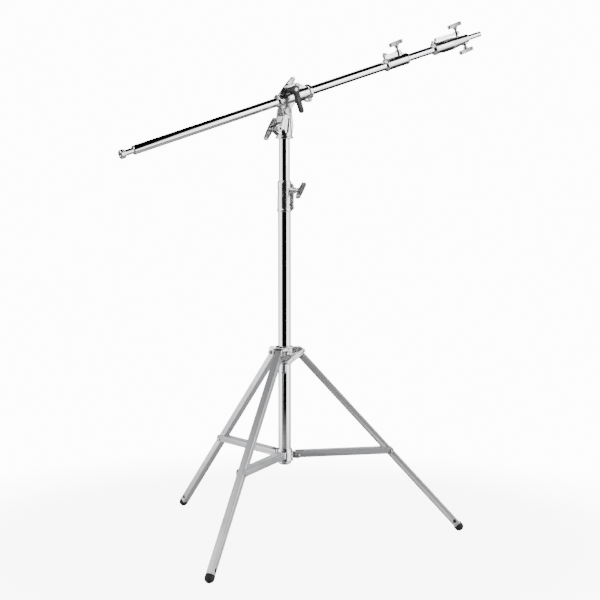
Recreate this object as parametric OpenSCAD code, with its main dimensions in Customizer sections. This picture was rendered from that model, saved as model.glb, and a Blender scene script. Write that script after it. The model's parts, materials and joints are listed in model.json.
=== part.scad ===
// Combination boom stand: a tripod base with square legs and channel braces, a telescopic
// column, and a tilting boom with an extension tube and a standard 16 mm spigot at its tip.
// Units are millimetres. +Z is up, and the origin is on the floor under the column's axis.
// The boom points to the side of +X, and the front leg points to the side of -Y.

/* [Base] */
// Radius of the circle that the feet stand on
foot_r = 497; // [470:1:520]
// Direction of the right leg, the other two are a third of a turn apart
leg_az = 8.6; // [0:0.1:60]
// Side of the square leg tube
leg_side = 20; // [18:0.5:22]
// Height of the legs' top pivots
leg_pivot_z = 514; // [490:1:540]
// Height of the braces' pivots on the hub
hub_pivot_z = 231; // [225:1:240]
// Distance down the leg from its top pivot to the brace's rivet
rivet_d = 378; // [366:1:382]

/* [Column] */
// Outer diameter of the lower column tube
lower_tube_d = 35; // [34:0.5:36]
// Outer diameter of the upper column tube
upper_tube_d = 30; // [29:0.5:30.5]
// Bottom of the column collar
collar_z = 903; // [860:1:950]
// Height of the column collar
collar_h = 84; // [76:1:90]

/* [Head] */
// Height of the boom's axis over the column's axis
boom_z = 1205.7; // [1180:0.1:1260]
// Direction of the boom seen from above
boom_az = 30; // [0:1:60]
// Rise of the boom above level
boom_el = 17.3; // [0:0.1:30]
// Height of the boom's axis above the tilt bolt, measured straight down
tilt_drop = 33; // [32:0.5:38]

/* [Boom] */
// Outer diameter of the boom tube
boom_d = 25; // [24:0.5:25.5]
// Outer diameter of the extension tube
extension_d = 22; // [21:0.5:22]
// Rear end of the boom tube, back from the column's axis
boom_back = 466; // [400:1:560]
// Start of the boom collar, forward of the column's axis
boom_collar_x = 341; // [300:1:420]
// Start of the tip fitting, forward of the column's axis
tip_x = 512; // [500:1:600]
// Diameter of the tip spigot
spigot_d = 16; // [15.8:0.1:16]

/* [Handles] */
// Length of a T-handle's bar
handle_l = 68; // [60:1:72]
// Diameter of the handles' screws
screw_d = 8; // [7:0.5:8]

/* [Hidden] */
$fn = 64;
fit_gap = 0.06;
free_gap = 0.3;
leg_count = 3;
leg_turn = 360 / leg_count;

lower_tube_r = lower_tube_d / 2;
lower_tube_wall = 2;
lower_tube_z = 212;
upper_tube_r = upper_tube_d / 2;
upper_tube_wall = 1.5;
upper_tube_z = 352;
upper_tube_top = 1126;

leg_pivot_r = 42;
hub_pivot_r = 36;
foot_dome_r = 13;
leg_run = foot_r - leg_pivot_r;
leg_drop = leg_pivot_z - foot_dome_r;
leg_len = sqrt(leg_run * leg_run + leg_drop * leg_drop);
leg_lean = atan2(leg_run, leg_drop);
leg_wall = 1.7;
leg_top_over = 8;
foot_flange_l = 8;
foot_plug_l = 45;
foot_lug_d = 23;
foot_lug_r = 5;
rivet_r_pos = leg_pivot_r + rivet_d * sin(leg_lean);
rivet_z_pos = leg_pivot_z - rivet_d * cos(leg_lean);
brace_run = rivet_r_pos - hub_pivot_r;
brace_rise = rivet_z_pos - hub_pivot_z;
brace_len = sqrt(brace_run * brace_run + brace_rise * brace_rise);
brace_slope = atan2(brace_rise, brace_run);
brace_wall = 1.7;
brace_w = leg_side + 1 + 2 * brace_wall;
brace_low = 5.5;
brace_high = 13.5;
brace_web_start = 17;
brace_web_stop = 28;
pin_r = 3;
pin_head_r = 5.5;
pin_head_h = 2.6;

hub_r = 23.5;
hub_bottom = 215;
hub_top = 243;
leg_collar_r = 23.5;
leg_collar_bottom = 490;
leg_collar_top = 536;
leg_collar_bore_r = lower_tube_r + 0.08;
cheek_gap = leg_side + 0.8;
cheek_t = 4.2;
leg_knob_az = -58;
leg_knob_z = 512;

collar_top = collar_z + collar_h;
collar_r = 19.5;
collar_seat_top = collar_z + 50;
collar_bore_r = upper_tube_r + 0.25;
collar_knob_az = -20;
collar_knob_z = collar_z + 58;
collar_pin_z = collar_z + 19;
collar_pin_x = 22;

screw_r = screw_d / 2;
screw_hole_r = screw_r + 0.08;
screw_tip_gap = 0.4;
small_pin_r = 2.5;
handle_end_r = 6.5;
handle_t = 10;
handle_hub_r = 7.5;
handle_hub_l = 13;
collar_knob_reach = 48;
collar_knob_roll = -56;
leg_knob_reach = 57;
leg_knob_roll = 122;
pinch_knob_reach = 34;
pinch_knob_roll = 117;
clamp_knob_reach = 46;
clamp_knob_roll = -32;
boom_knob_reach = 51;
boom_knob_roll = 25;
tip_knob_reach = 47;
tip_knob_roll = 22;
spigot_knob_reach = 34;
spigot_knob_roll = -20;

tilt_z = boom_z - tilt_drop;
tilt_x_boom = -tilt_drop * sin(boom_el);
tilt_z_boom = -tilt_drop * cos(boom_el);
tilt_eye_r = 13;
tilt_bolt_r = 5;
fork_gap = 28;
fork_t = 6.5;
socket_r = 22;
socket_bottom = 1100;
socket_top = 1147;
pinch_x = -25;
pinch_z = 1127;

boom_r = boom_d / 2;
boom_wall = 1.2;
extension_r = extension_d / 2;
extension_wall = 1.4;
clamp_r = 19;
clamp_back = -12;
clamp_front = 84;
liner_t = 1;
lever_x = 14;
lever_z = 22;
lever_arm_l = 62;
lever_hub_r = 11.5;
clamp_hinge_x = clamp_front - 12;
clamp_hinge_z = -22;
clamp_knob_x = 44;
clamp_knob_z = 26;
clamp_ear_y = 12;
boom_collar_l = 77;
boom_collar_r = 16.5;
boom_seat_end = boom_collar_x + 39;
boom_bush_l = 6;
boom_knob_x = boom_collar_x + 52;
boom_hinge_x = boom_collar_x + 6;
boom_hinge_z = 30;
stud_l = 39;
stud_neck_r = 8;
stud_hole_r = 3.97;
stud_hole_l = 22;
extension_back = 100;
extension_front = tip_x + 62;
tip_l = 124;
tip_barrel_l = 66;
tip_pin_x = tip_x + 7;
tip_pin_z = 19;
tip_r = 17;
tip_neck_r = 11.5;
tip_knob_x = tip_x + 91;
spigot_knob_x = tip_x + 111;
spigot_back = tip_x + 76;
spigot_tip = tip_x + 173;
spigot_r = spigot_d / 2;
spigot_shank_r = spigot_r - 1;

// ---- helpers ----

// A round tube or ring standing on z = 0
module ring(r_out, r_in, h) {
    difference() {
        cylinder(r = r_out, h = h);
        translate([0, 0, -1]) cylinder(r = r_in, h = h + 2);
    }
}

// A cylinder along +X from x0 to x1
module along_x(x0, x1, r) {
    translate([x0, 0, 0]) rotate([0, 90, 0]) cylinder(r = r, h = x1 - x0);
}

// A cylinder along +Y from y0 to y1
module along_y(y0, y1, r) {
    translate([0, y0, 0]) rotate([-90, 0, 0]) cylinder(r = r, h = y1 - y0);
}

// A box given by its low corner and its high corner
module span(low, high) {
    translate(low) cube(high - low);
}

// Places children in a leg's own plane: +X outward, +Z up
module leg_plane(i) {
    rotate([0, 0, leg_az + i * leg_turn]) children();
}

// Places children at a leg's top pivot with +X pointing down along the leg
module along_leg(i) {
    leg_plane(i) translate([leg_pivot_r, 0, leg_pivot_z]) rotate([0, 90 - leg_lean, 0]) children();
}

// Places children at a brace's hub pivot with +X pointing out along the brace
module along_brace(i) {
    leg_plane(i) translate([hub_pivot_r, 0, hub_pivot_z]) rotate([0, -brace_slope, 0]) children();
}

// Places children in the head's own plane: +X under the boom, +Z up, origin on the floor
module head_plane() {
    rotate([0, 0, boom_az]) children();
}

// Places children on the boom's axis over the column, +X towards the tip
module on_boom() {
    translate([0, 0, boom_z]) head_plane() rotate([0, -boom_el, 0]) children();
}

// A T-handle whose screw runs along +Z, with the middle of its bar at height reach.
// A handle that turns on a fixed bolt has a bore a little wider than the bolt.
module t_handle(reach, bore = screw_r) {
    bar = handle_l - 2 * handle_end_r;
    difference() {
        union() {
            translate([0, 0, reach - handle_hub_l])
                cylinder(r = handle_hub_r, h = handle_hub_l + handle_t / 2);
            translate([-bar / 2, -handle_end_r, reach - handle_t / 2])
                cube([bar, 2 * handle_end_r, handle_t]);
            for (side = [-1, 1])
                translate([side * bar / 2, 0, reach - handle_t / 2])
                    cylinder(r = handle_end_r, h = handle_t);
        }
        translate([0, 0, reach - handle_hub_l - 1]) cylinder(r = bore, h = handle_hub_l + 1);
    }
}

// The screw of a T-handle, from its tip at height tip
module t_screw(tip, reach) {
    translate([0, 0, tip]) cylinder(r = screw_r, h = reach - tip);
}

// ---- column ----

module lower_column_tube() {
    color("silver") translate([0, 0, lower_tube_z])
        ring(lower_tube_r, lower_tube_r - lower_tube_wall, collar_seat_top - 8 - lower_tube_z);
}

// Plug and rounded cover under the column
module column_base_cap() {
    plug_r = lower_tube_r - lower_tube_wall;
    dome_r = 30;
    color("lightgray") union() {
        translate([0, 0, lower_tube_z - 3]) cylinder(r = plug_r, h = 16);
        intersection() {
            translate([0, 0, lower_tube_z - 8]) cylinder(r = lower_tube_r + 1, h = 8);
            translate([0, 0, lower_tube_z - 8 + dome_r]) sphere(r = dome_r);
        }
    }
}

// Fixed casting at the column's foot, with a tongue for each brace
module brace_hub() {
    tongue_w = leg_side + 0.4;
    color("silver") difference() {
        union() {
            translate([0, 0, hub_bottom]) cylinder(r = hub_r, h = hub_top - hub_bottom);
            translate([0, 0, hub_top - 1]) cylinder(r = lower_tube_r + 3, h = 9);
            for (i = [0:leg_count - 1])
                leg_plane(i) {
                    span([lower_tube_r + 1, -tongue_w / 2, hub_pivot_z - 8.5],
                         [hub_pivot_r, tongue_w / 2, hub_top - 1]);
                    translate([hub_pivot_r, 0, hub_pivot_z]) along_y(-tongue_w / 2, tongue_w / 2, 8.5);
                }
        }
        translate([0, 0, hub_bottom - 1]) cylinder(r = lower_tube_r, h = 60);
        for (i = [0:leg_count - 1])
            leg_plane(i) translate([hub_pivot_r, 0, hub_pivot_z])
                along_y(-tongue_w, tongue_w, pin_r);
    }
}

// One pivot pin with a head at each end, across y
module headed_pin(half_w) {
    along_y(-half_w - pin_head_h, half_w + pin_head_h, pin_r);
    along_y(half_w, half_w + pin_head_h, pin_head_r);
    along_y(-half_w - pin_head_h, -half_w, pin_head_r);
}

module hub_pins() {
    color("gray") for (i = [0:leg_count - 1])
        leg_plane(i) translate([hub_pivot_r, 0, hub_pivot_z]) headed_pin(brace_w / 2 + free_gap);
}

// Clamp casting fixed on top of the lower tube, which guides and locks the upper tube
module column_collar() {
    ridge_w = 13;
    ridge_r = 27;
    color("silver") difference() {
        union() {
            rotate_extrude() polygon([
                [lower_tube_r - 4, collar_z], [collar_r + 1, collar_z],
                [collar_r + 1, collar_z + 6], [collar_r, collar_z + 9],
                [collar_r, collar_z + 42], [collar_r - 1, collar_z + 50],
                [collar_r - 1, collar_z + 58], [collar_r, collar_z + 66],
                [collar_r, collar_top - 3], [collar_r - 2, collar_top],
                [lower_tube_r - 4, collar_top]
            ]);
            rotate([0, 0, collar_knob_az]) {
                span([lower_tube_r, -ridge_w / 2, collar_z + 12],
                     [ridge_r, ridge_w / 2, collar_z + 68]);
                translate([lower_tube_r + 1, 0, collar_z + 68]) along_y(-ridge_w / 2, ridge_w / 2, 8.5);
                translate([ridge_r - 8, 0, collar_z + 10]) along_y(-ridge_w / 2, ridge_w / 2, 8);
                translate([0, 0, collar_knob_z]) along_x(lower_tube_r, 33, 9);
            }
        }
        translate([0, 0, collar_z - 1]) cylinder(r = lower_tube_r, h = collar_seat_top - collar_z + 1);
        translate([0, 0, collar_z - 1]) cylinder(r = collar_bore_r, h = collar_h + 2);
        rotate([0, 0, collar_knob_az]) {
            translate([0, 0, collar_knob_z]) along_x(5, 40, screw_hole_r);
            translate([collar_pin_x, 0, collar_pin_z]) along_y(-20, 20, small_pin_r);
        }
    }
}

// Plastic ring between the two tubes, seated on the lower tube's end
module column_guide_bush() {
    color("dimgray") translate([0, 0, collar_seat_top - 8])
        ring(lower_tube_r, upper_tube_r + fit_gap, 8);
}

// Brass pad that the collar's screw presses on the upper tube
module column_collar_shoe() {
    color("goldenrod") rotate([0, 0, collar_knob_az]) translate([0, 0, collar_knob_z])
        along_x(upper_tube_r + 0.4, upper_tube_r + 3.4, screw_r);
}

module column_collar_pin() {
    color("black") rotate([0, 0, collar_knob_az]) translate([collar_pin_x, 0, collar_pin_z])
        along_y(-8, 8, small_pin_r);
}

// Places children so that +Z points outward from the column at the collar's handle
module at_collar_knob() {
    rotate([0, 0, collar_knob_az]) translate([0, 0, collar_knob_z])
        rotate([0, 90, 0]) rotate([0, 0, collar_knob_roll]) children();
}

module column_collar_knob() {
    color("silver") at_collar_knob() t_handle(collar_knob_reach);
}

module column_collar_screw() {
    color("gray") at_collar_knob() t_screw(upper_tube_r + 3.7, collar_knob_reach);
}

// ---- leg collar ----

// Sliding casting that carries the legs' tops between three pairs of cheeks
module leg_collar() {
    cheek_r = 11.5;
    color("silver") difference() {
        union() {
            translate([0, 0, leg_collar_bottom])
                cylinder(r = leg_collar_r, h = leg_collar_top - leg_collar_bottom);
            translate([0, 0, leg_collar_bottom - 5]) cylinder(r = leg_collar_r - 2.5, h = 6);
            for (i = [0:leg_count - 1])
                leg_plane(i) for (side = [-1, 1])
                    translate([0, side * (cheek_gap + cheek_t) / 2, 0]) {
                        span([6, -cheek_t / 2, leg_collar_bottom + 8],
                             [leg_pivot_r, cheek_t / 2, leg_collar_top - 3]);
                        translate([leg_pivot_r, 0, leg_pivot_z])
                            along_y(-cheek_t / 2, cheek_t / 2, cheek_r);
                        span([leg_pivot_r, -cheek_t / 2, leg_pivot_z],
                             [leg_pivot_r + cheek_r, cheek_t / 2, leg_collar_top - 3]);
                    }
            rotate([0, 0, leg_knob_az]) translate([0, 0, leg_knob_z]) along_x(15, 36, 9.5);
            intersection() {
                translate([0, 0, leg_collar_bottom - 30]) cylinder(r = leg_collar_r - 2.5, h = 32);
                rotate([0, 0, -96]) span([10, -8, leg_collar_bottom - 30], [30, 8, leg_collar_bottom]);
            }
        }
        translate([0, 0, leg_collar_bottom - 40]) cylinder(r = leg_collar_bore_r, h = 100);
        rotate([0, 0, leg_knob_az]) translate([0, 0, leg_knob_z]) along_x(5, 50, screw_hole_r);
        for (i = [0:leg_count - 1])
            leg_plane(i) translate([leg_pivot_r, 0, leg_pivot_z]) along_y(-20, 20, 4);
    }
}

// The pivots of the legs' tops: a head on one side, a nut and thread end on the other
module leg_pivot_bolts() {
    inner = cheek_gap / 2;
    outer = inner + cheek_t;
    color("gray") for (i = [0:leg_count - 1])
        leg_plane(i) translate([leg_pivot_r, 0, leg_pivot_z]) {
            along_y(inner, outer + 8, 4);
            along_y(outer, outer + 5, 6.5);
            along_y(-outer - 3, -inner, 4);
            along_y(-outer - 3, -outer, 7);
        }
}

// Places children so that +Z points outward from the column at the leg collar's handle
module at_leg_knob() {
    rotate([0, 0, leg_knob_az]) translate([0, 0, leg_knob_z])
        rotate([0, 90, 0]) rotate([0, 0, leg_knob_roll]) children();
}

module leg_collar_knob() {
    color("silver") at_leg_knob() t_handle(leg_knob_reach);
}

module leg_collar_screw() {
    color("gray") at_leg_knob() t_screw(lower_tube_r + free_gap, leg_knob_reach);
}

// ---- legs ----

module leg_tube(i) {
    half = leg_side / 2;
    bore = half - leg_wall;
    end = leg_len - foot_flange_l;
    color("silver") along_leg(i) difference() {
        span([-leg_top_over, -half, -half], [end, half, half]);
        span([-leg_top_over - 1, -bore, -bore], [end + 1, bore, bore]);
        along_y(-half - 1, half + 1, 4.2);
        translate([rivet_d, 0, 0]) along_y(-half - 1, half + 1, pin_r);
        translate([leg_len - foot_lug_d, 0, 0]) along_y(-half - 1, half + 1, foot_lug_r + 0.1);
    }
}

// Rubber foot: a dome, a square plug inside the tube and a round lug in the tube's side holes
module foot(i) {
    plug = leg_side / 2 - leg_wall - 0.1;
    lug = leg_side / 2 + 0.4;
    color("black") along_leg(i) union() {
        intersection() {
            translate([leg_len, 0, 0]) sphere(r = foot_dome_r);
            along_x(leg_len - foot_flange_l, leg_len + 2 * foot_dome_r, 2 * foot_dome_r);
        }
        along_x(leg_len - foot_flange_l, leg_len, foot_dome_r);
        span([leg_len - foot_plug_l, -plug, -plug], [leg_len - foot_flange_l + 1, plug, plug]);
        translate([leg_len - foot_lug_d, 0, 0]) along_y(-lug, lug, foot_lug_r);
    }
}

// U-channel brace: two flanges with rounded ends and a web on top
module brace(i) {
    half = brace_w / 2;
    mid = (brace_high - brace_low) / 2;
    end_r = (brace_high + brace_low) / 2;
    color("silver") along_brace(i) difference() {
        union() {
            for (side = [-1, 1])
                translate([0, side * (half - brace_wall / 2), 0]) {
                    span([0, -brace_wall / 2, -brace_low], [brace_len, brace_wall / 2, brace_high]);
                    for (x = [0, brace_len])
                        translate([x, 0, mid]) along_y(-brace_wall / 2, brace_wall / 2, end_r);
                }
            span([brace_web_start, -half, brace_high - brace_wall],
                 [brace_len - brace_web_stop, half, brace_high]);
        }
        for (x = [0, brace_len])
            translate([x, 0, 0]) along_y(-half - 1, half + 1, pin_r + fit_gap);
    }
}

module leg_rivet(i) {
    color("gray") leg_plane(i) translate([rivet_r_pos, 0, rivet_z_pos])
        headed_pin(brace_w / 2 + free_gap);
}

// ---- upper column and head ----

module upper_column_tube() {
    color("silver") translate([0, 0, upper_tube_z])
        ring(upper_tube_r, upper_tube_r - upper_tube_wall, upper_tube_top - upper_tube_z);
}

// Plastic ring that guides the foot of the upper tube in the lower tube
module upper_column_guide() {
    guide_r = lower_tube_r - lower_tube_wall - 0.08;
    plug_r = upper_tube_r - upper_tube_wall;
    color("dimgray") union() {
        translate([0, 0, upper_tube_z - 12]) ring(guide_r, 9, 12);
        translate([0, 0, upper_tube_z - 1]) ring(plug_r, 9, 19);
    }
}

// Split casting clamped on top of the column, with a fork that carries the tilt bolt
module head_socket() {
    ear_x = pinch_x - 8;
    ear_y = 14;
    fork_y = fork_gap / 2 + fork_t;
    color("silver") head_plane() difference() {
        union() {
            translate([0, 0, socket_bottom]) cylinder(r = socket_r, h = socket_top - socket_bottom);
            translate([0, 0, socket_bottom]) cylinder(r = socket_r + 2.5, h = 7);
            span([-13, -fork_y, socket_bottom + 22], [13, fork_y, socket_top]);
            for (side = [-1, 1])
                translate([0, side * (fork_gap + fork_t) / 2, 0]) {
                    span([-tilt_eye_r, -fork_t / 2, socket_top - 5], [tilt_eye_r, fork_t / 2, tilt_z]);
                    translate([0, 0, tilt_z]) along_y(-fork_t / 2, fork_t / 2, tilt_eye_r);
                }
            span([pinch_x, -ear_y, pinch_z - 11], [-10, ear_y, pinch_z + 11]);
            translate([pinch_x, 0, pinch_z]) along_y(-ear_y, ear_y, 11);
        }
        translate([0, 0, socket_bottom - 1])
            cylinder(r = upper_tube_r + fit_gap, h = upper_tube_top - socket_bottom + 2);
        span([ear_x - 10, -1, socket_bottom - 1], [0, 1, upper_tube_top]);
        translate([pinch_x, 0, pinch_z]) along_y(-30, 30, screw_hole_r);
        translate([0, 0, tilt_z]) along_y(-30, 30, tilt_bolt_r);
    }
}

// Places children so that +Z points away from the head's far side at the pinch bolt
module at_pinch_knob() {
    head_plane() translate([pinch_x, 0, pinch_z])
        rotate([-90, 0, 0]) rotate([0, 0, pinch_knob_roll]) children();
}

module head_pinch_knob() {
    color("silver") at_pinch_knob() t_handle(pinch_knob_reach, screw_r + fit_gap);
}

module head_pinch_bolt() {
    color("gray") at_pinch_knob() {
        t_screw(-20, pinch_knob_reach - 1);
        translate([0, 0, -20]) cylinder(r = 8, h = 5.6);
    }
}

module tilt_bolt() {
    outer = fork_gap / 2 + fork_t;
    color("gray") head_plane() translate([0, 0, tilt_z]) {
        along_y(-outer - 5, outer + 9, tilt_bolt_r);
        along_y(-outer - 5, -outer, 10.5);
    }
}

module tilt_nut() {
    outer = fork_gap / 2 + fork_t;
    color("gray") head_plane() translate([0, 0, tilt_z]) difference() {
        along_y(outer, outer + 7, 9.5);
        along_y(outer - 1, outer + 8, tilt_bolt_r);
    }
}

// Split sleeve round the boom, with a tongue in the fork and ears for the two clamp bolts
module boom_clamp() {
    tongue_y = fork_gap / 2 - free_gap;
    color("silver") on_boom() difference() {
        union() {
            along_x(clamp_back, clamp_front, clamp_r);
            along_x(clamp_front - 9, clamp_front, clamp_r + 2);
            along_x(clamp_back, clamp_back + 6, clamp_r + 1);
            translate([tilt_x_boom, 0, tilt_z_boom]) along_y(-tongue_y, tongue_y, tilt_eye_r - 0.5);
            span([tilt_x_boom, -tongue_y, tilt_z_boom - 2], [tilt_x_boom + 24, tongue_y, -8]);
            translate([lever_x, 0, lever_z]) along_y(-clamp_ear_y, clamp_ear_y, 9);
            translate([clamp_knob_x, 0, clamp_knob_z]) along_y(-clamp_ear_y, clamp_ear_y, 9);
            span([lever_x, -clamp_ear_y, 4], [clamp_knob_x, clamp_ear_y, 29.5]);
            span([lever_x - 9, -clamp_ear_y, 4], [lever_x, clamp_ear_y, lever_z]);
            span([clamp_knob_x, -clamp_ear_y, 4], [clamp_knob_x + 9, clamp_ear_y, clamp_knob_z]);
            span([clamp_knob_x, -clamp_ear_y, 4], [clamp_front - 8, clamp_ear_y, 20]);
            translate([clamp_hinge_x, 0, clamp_hinge_z + 2]) along_y(-10, 10, 7);
        }
        along_x(clamp_back - 1, clamp_front + 1, boom_r + liner_t + fit_gap);
        span([clamp_back - 1, -1, 5], [clamp_front + 1, 1, 50]);
        translate([lever_x, 0, lever_z]) along_y(-30, 30, screw_hole_r);
        translate([clamp_knob_x, 0, clamp_knob_z]) along_y(-30, 30, screw_hole_r);
        translate([tilt_x_boom, 0, tilt_z_boom]) along_y(-30, 30, tilt_bolt_r + fit_gap);
        translate([clamp_hinge_x, 0, clamp_hinge_z]) along_y(-30, 30, small_pin_r);
    }
}

// Plastic sleeve that the boom slides in
module boom_clamp_liner() {
    color("dimgray") on_boom() difference() {
        along_x(clamp_back, clamp_front, boom_r + liner_t + fit_gap);
        along_x(clamp_back - 1, clamp_front + 1, boom_r + fit_gap);
        span([clamp_back - 1, -1, 5], [clamp_front + 1, 1, 30]);
    }
}

module clamp_hinge_bolt() {
    color("gray") on_boom() translate([clamp_hinge_x, 0, clamp_hinge_z]) {
        along_y(-14, 13, small_pin_r);
        along_y(-14, -10, 4.5);
    }
}

// Black ratchet lever on the near end of the clamp's rear bolt
module clamp_lever() {
    color("black") on_boom() translate([lever_x, 0, lever_z]) difference() {
        union() {
            along_y(-50, -clamp_ear_y - 6, 9);
            along_y(-54, -38, lever_hub_r);
            span([-6, -52, -lever_arm_l], [6, -44, 0]);
            translate([0, 0, -lever_arm_l]) along_y(-52, -44, 6);
        }
        along_y(-51, 0, screw_r);
    }
}

module clamp_lever_bolt() {
    color("gray") on_boom() translate([lever_x, 0, lever_z]) {
        along_y(-51, clamp_ear_y + 5, screw_r);
        along_y(clamp_ear_y + free_gap, clamp_ear_y + 5, 7);
    }
}

// Places children so that +Z points away from the clamp's far side at its front bolt
module at_clamp_knob() {
    on_boom() translate([clamp_knob_x, 0, clamp_knob_z])
        rotate([-90, 0, 0]) rotate([0, 0, clamp_knob_roll]) children();
}

module clamp_knob() {
    color("silver") at_clamp_knob() t_handle(clamp_knob_reach, screw_r + fit_gap);
}

module clamp_knob_bolt() {
    color("gray") at_clamp_knob() {
        t_screw(-17, clamp_knob_reach - 1);
        translate([0, 0, -17]) cylinder(r = 7, h = 4.7);
    }
}

// ---- boom ----

module boom_tube() {
    color("silver") on_boom() difference() {
        along_x(-boom_back, boom_seat_end, boom_r);
        along_x(-boom_back - 1, boom_seat_end + 1, boom_r - boom_wall);
    }
}

// Spool-shaped stud in the boom's rear end, drilled for a threaded counterweight hook
module boom_rear_stud() {
    color("silver") on_boom() difference() {
        union() {
            along_x(-boom_back - stud_l, -boom_back - stud_l + 13, boom_r);
            along_x(-boom_back - stud_l + 12, -boom_back + 1, stud_neck_r);
            along_x(-boom_back, -boom_back + 26, boom_r - boom_wall);
        }
        along_x(-boom_back - stud_l - 1, -boom_back - stud_l + stud_hole_l, stud_hole_r);
    }
}

// Clamp casting fixed on the boom's front end, which guides and locks the extension tube
module boom_collar() {
    ridge_y = 6;
    color("silver") on_boom() difference() {
        union() {
            along_x(boom_collar_x, boom_collar_x + boom_collar_l, boom_collar_r);
            along_x(boom_collar_x, boom_collar_x + 7, boom_collar_r + 1.5);
            span([boom_collar_x + 2, -ridge_y, 8], [boom_knob_x, ridge_y, 27]);
            translate([boom_hinge_x, 0, boom_hinge_z]) along_y(-ridge_y, ridge_y, 6);
            span([boom_knob_x, -ridge_y, 8], [boom_knob_x + 13, ridge_y, 21]);
            translate([boom_knob_x, 0, 8]) cylinder(r = 9, h = 22);
        }
        along_x(boom_collar_x - 1, boom_seat_end + boom_bush_l, boom_r);
        along_x(boom_collar_x - 1, boom_collar_x + boom_collar_l + 1, extension_r + 0.25);
        translate([boom_knob_x, 0, 0]) cylinder(r = screw_hole_r, h = 60);
        translate([boom_hinge_x, 0, boom_hinge_z]) along_y(-10, 10, small_pin_r);
    }
}

module boom_collar_bush() {
    color("dimgray") on_boom() difference() {
        along_x(boom_seat_end, boom_seat_end + boom_bush_l, boom_r);
        along_x(boom_seat_end - 1, boom_seat_end + boom_bush_l + 1, extension_r + fit_gap);
    }
}

module boom_collar_pin() {
    color("black") on_boom() translate([boom_hinge_x, 0, boom_hinge_z]) along_y(-7.5, 7.5, small_pin_r);
}

module at_boom_knob() {
    on_boom() translate([boom_knob_x, 0, 0]) rotate([0, 0, boom_knob_roll]) children();
}

module boom_collar_knob() {
    color("silver") at_boom_knob() t_handle(boom_knob_reach);
}

module boom_collar_screw() {
    color("gray") at_boom_knob() t_screw(extension_r + free_gap, boom_knob_reach);
}

// ---- extension and tip ----

module extension_tube() {
    color("silver") on_boom() difference() {
        along_x(extension_back, extension_front, extension_r);
        along_x(extension_back - 1, extension_front + 1, extension_r - extension_wall);
    }
}

module extension_guide() {
    color("dimgray") on_boom() union() {
        along_x(extension_back - 10, extension_back, boom_r - boom_wall - 0.08);
        along_x(extension_back - 1, extension_back + 16, extension_r - extension_wall);
    }
}

// Tip casting: a sleeve on the extension tube that narrows to hold the spigot
module tip_fitting() {
    color("silver") on_boom() difference() {
        union() {
            along_x(tip_x, tip_x + tip_barrel_l, tip_r);
            along_x(tip_x, tip_x + 7, tip_r + 1.5);
            translate([tip_x + tip_barrel_l, 0, 0]) rotate([0, 90, 0])
                cylinder(r1 = tip_r, r2 = tip_neck_r, h = tip_l - tip_barrel_l);
            span([tip_x + 2, -5.5, 10], [tip_x + 12, 5.5, 23]);
            translate([spigot_knob_x, 0, -17]) cylinder(r = 8.5, h = 16);
        }
        along_x(tip_x - 1, extension_front, extension_r);
        along_x(extension_front - 1, tip_x + tip_l + 1, spigot_shank_r + fit_gap);
        translate([tip_knob_x, 0, 0]) cylinder(r = screw_hole_r, h = 40);
        translate([spigot_knob_x, 0, -40]) cylinder(r = screw_hole_r, h = 40);
        translate([tip_pin_x, 0, tip_pin_z]) along_y(-10, 10, small_pin_r);
    }
}

// Bar that the upper handle draws down on the sleeve
module tip_clamp_arm() {
    color("silver") on_boom() difference() {
        union() {
            span([tip_x + 13, -6, 17.6], [tip_knob_x, 6, 26]);
            translate([tip_x + 18, 0, 23.8]) along_y(-6, 6, 6);
            translate([tip_knob_x, 0, 17.3]) cylinder(r = 9.5, h = 11);
        }
        translate([tip_knob_x, 0, 0]) cylinder(r = screw_hole_r, h = 60);
    }
}

module tip_clamp_pin() {
    color("black") on_boom() translate([tip_pin_x, 0, tip_pin_z]) along_y(-7.5, 7.5, small_pin_r);
}

module at_tip_knob() {
    on_boom() translate([tip_knob_x, 0, 0]) rotate([0, 0, tip_knob_roll]) children();
}

module tip_knob() {
    color("silver") at_tip_knob() t_handle(tip_knob_reach);
}

module tip_screw() {
    color("gray") at_tip_knob() t_screw(spigot_shank_r + screw_tip_gap, tip_knob_reach);
}

module at_spigot_knob() {
    on_boom() translate([spigot_knob_x, 0, 0])
        rotate([180, 0, 0]) rotate([0, 0, spigot_knob_roll]) children();
}

module spigot_knob() {
    color("silver") at_spigot_knob() t_handle(spigot_knob_reach);
}

module spigot_screw() {
    color("gray") at_spigot_knob() t_screw(spigot_shank_r + screw_tip_gap, spigot_knob_reach);
}

// Standard spigot with a groove that a clamp screw catches
module tip_spigot() {
    groove_x = spigot_tip - 17;
    color("silver") on_boom() difference() {
        union() {
            along_x(spigot_back, tip_x + tip_l + 1, spigot_shank_r);
            along_x(tip_x + tip_l + free_gap, spigot_tip, spigot_r);
        }
        difference() {
            along_x(groove_x, groove_x + 7, spigot_r + 2);
            along_x(groove_x - 1, groove_x + 8, spigot_r - 1.6);
        }
    }
}

lower_column_tube();
column_base_cap();
brace_hub();
hub_pins();
column_collar();
column_guide_bush();
column_collar_shoe();
column_collar_pin();
column_collar_knob();
column_collar_screw();
leg_collar();
leg_pivot_bolts();
leg_collar_knob();
leg_collar_screw();
leg_tube(0);  // leg_tube_right
leg_tube(1);  // leg_tube_left
leg_tube(2);  // leg_tube_front
foot(0);  // foot_right
foot(1);  // foot_left
foot(2);  // foot_front
brace(0);  // brace_right
brace(1);  // brace_left
brace(2);  // brace_front
leg_rivet(0);  // leg_rivet_right
leg_rivet(1);  // leg_rivet_left
leg_rivet(2);  // leg_rivet_front
upper_column_tube();
upper_column_guide();
head_socket();
head_pinch_knob();
head_pinch_bolt();
tilt_bolt();
tilt_nut();
boom_clamp();
boom_clamp_liner();
clamp_hinge_bolt();
clamp_lever();
clamp_lever_bolt();
clamp_knob();
clamp_knob_bolt();
boom_tube();
boom_rear_stud();
boom_collar();
boom_collar_bush();
boom_collar_pin();
boom_collar_knob();
boom_collar_screw();
extension_tube();
extension_guide();
tip_fitting();
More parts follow.
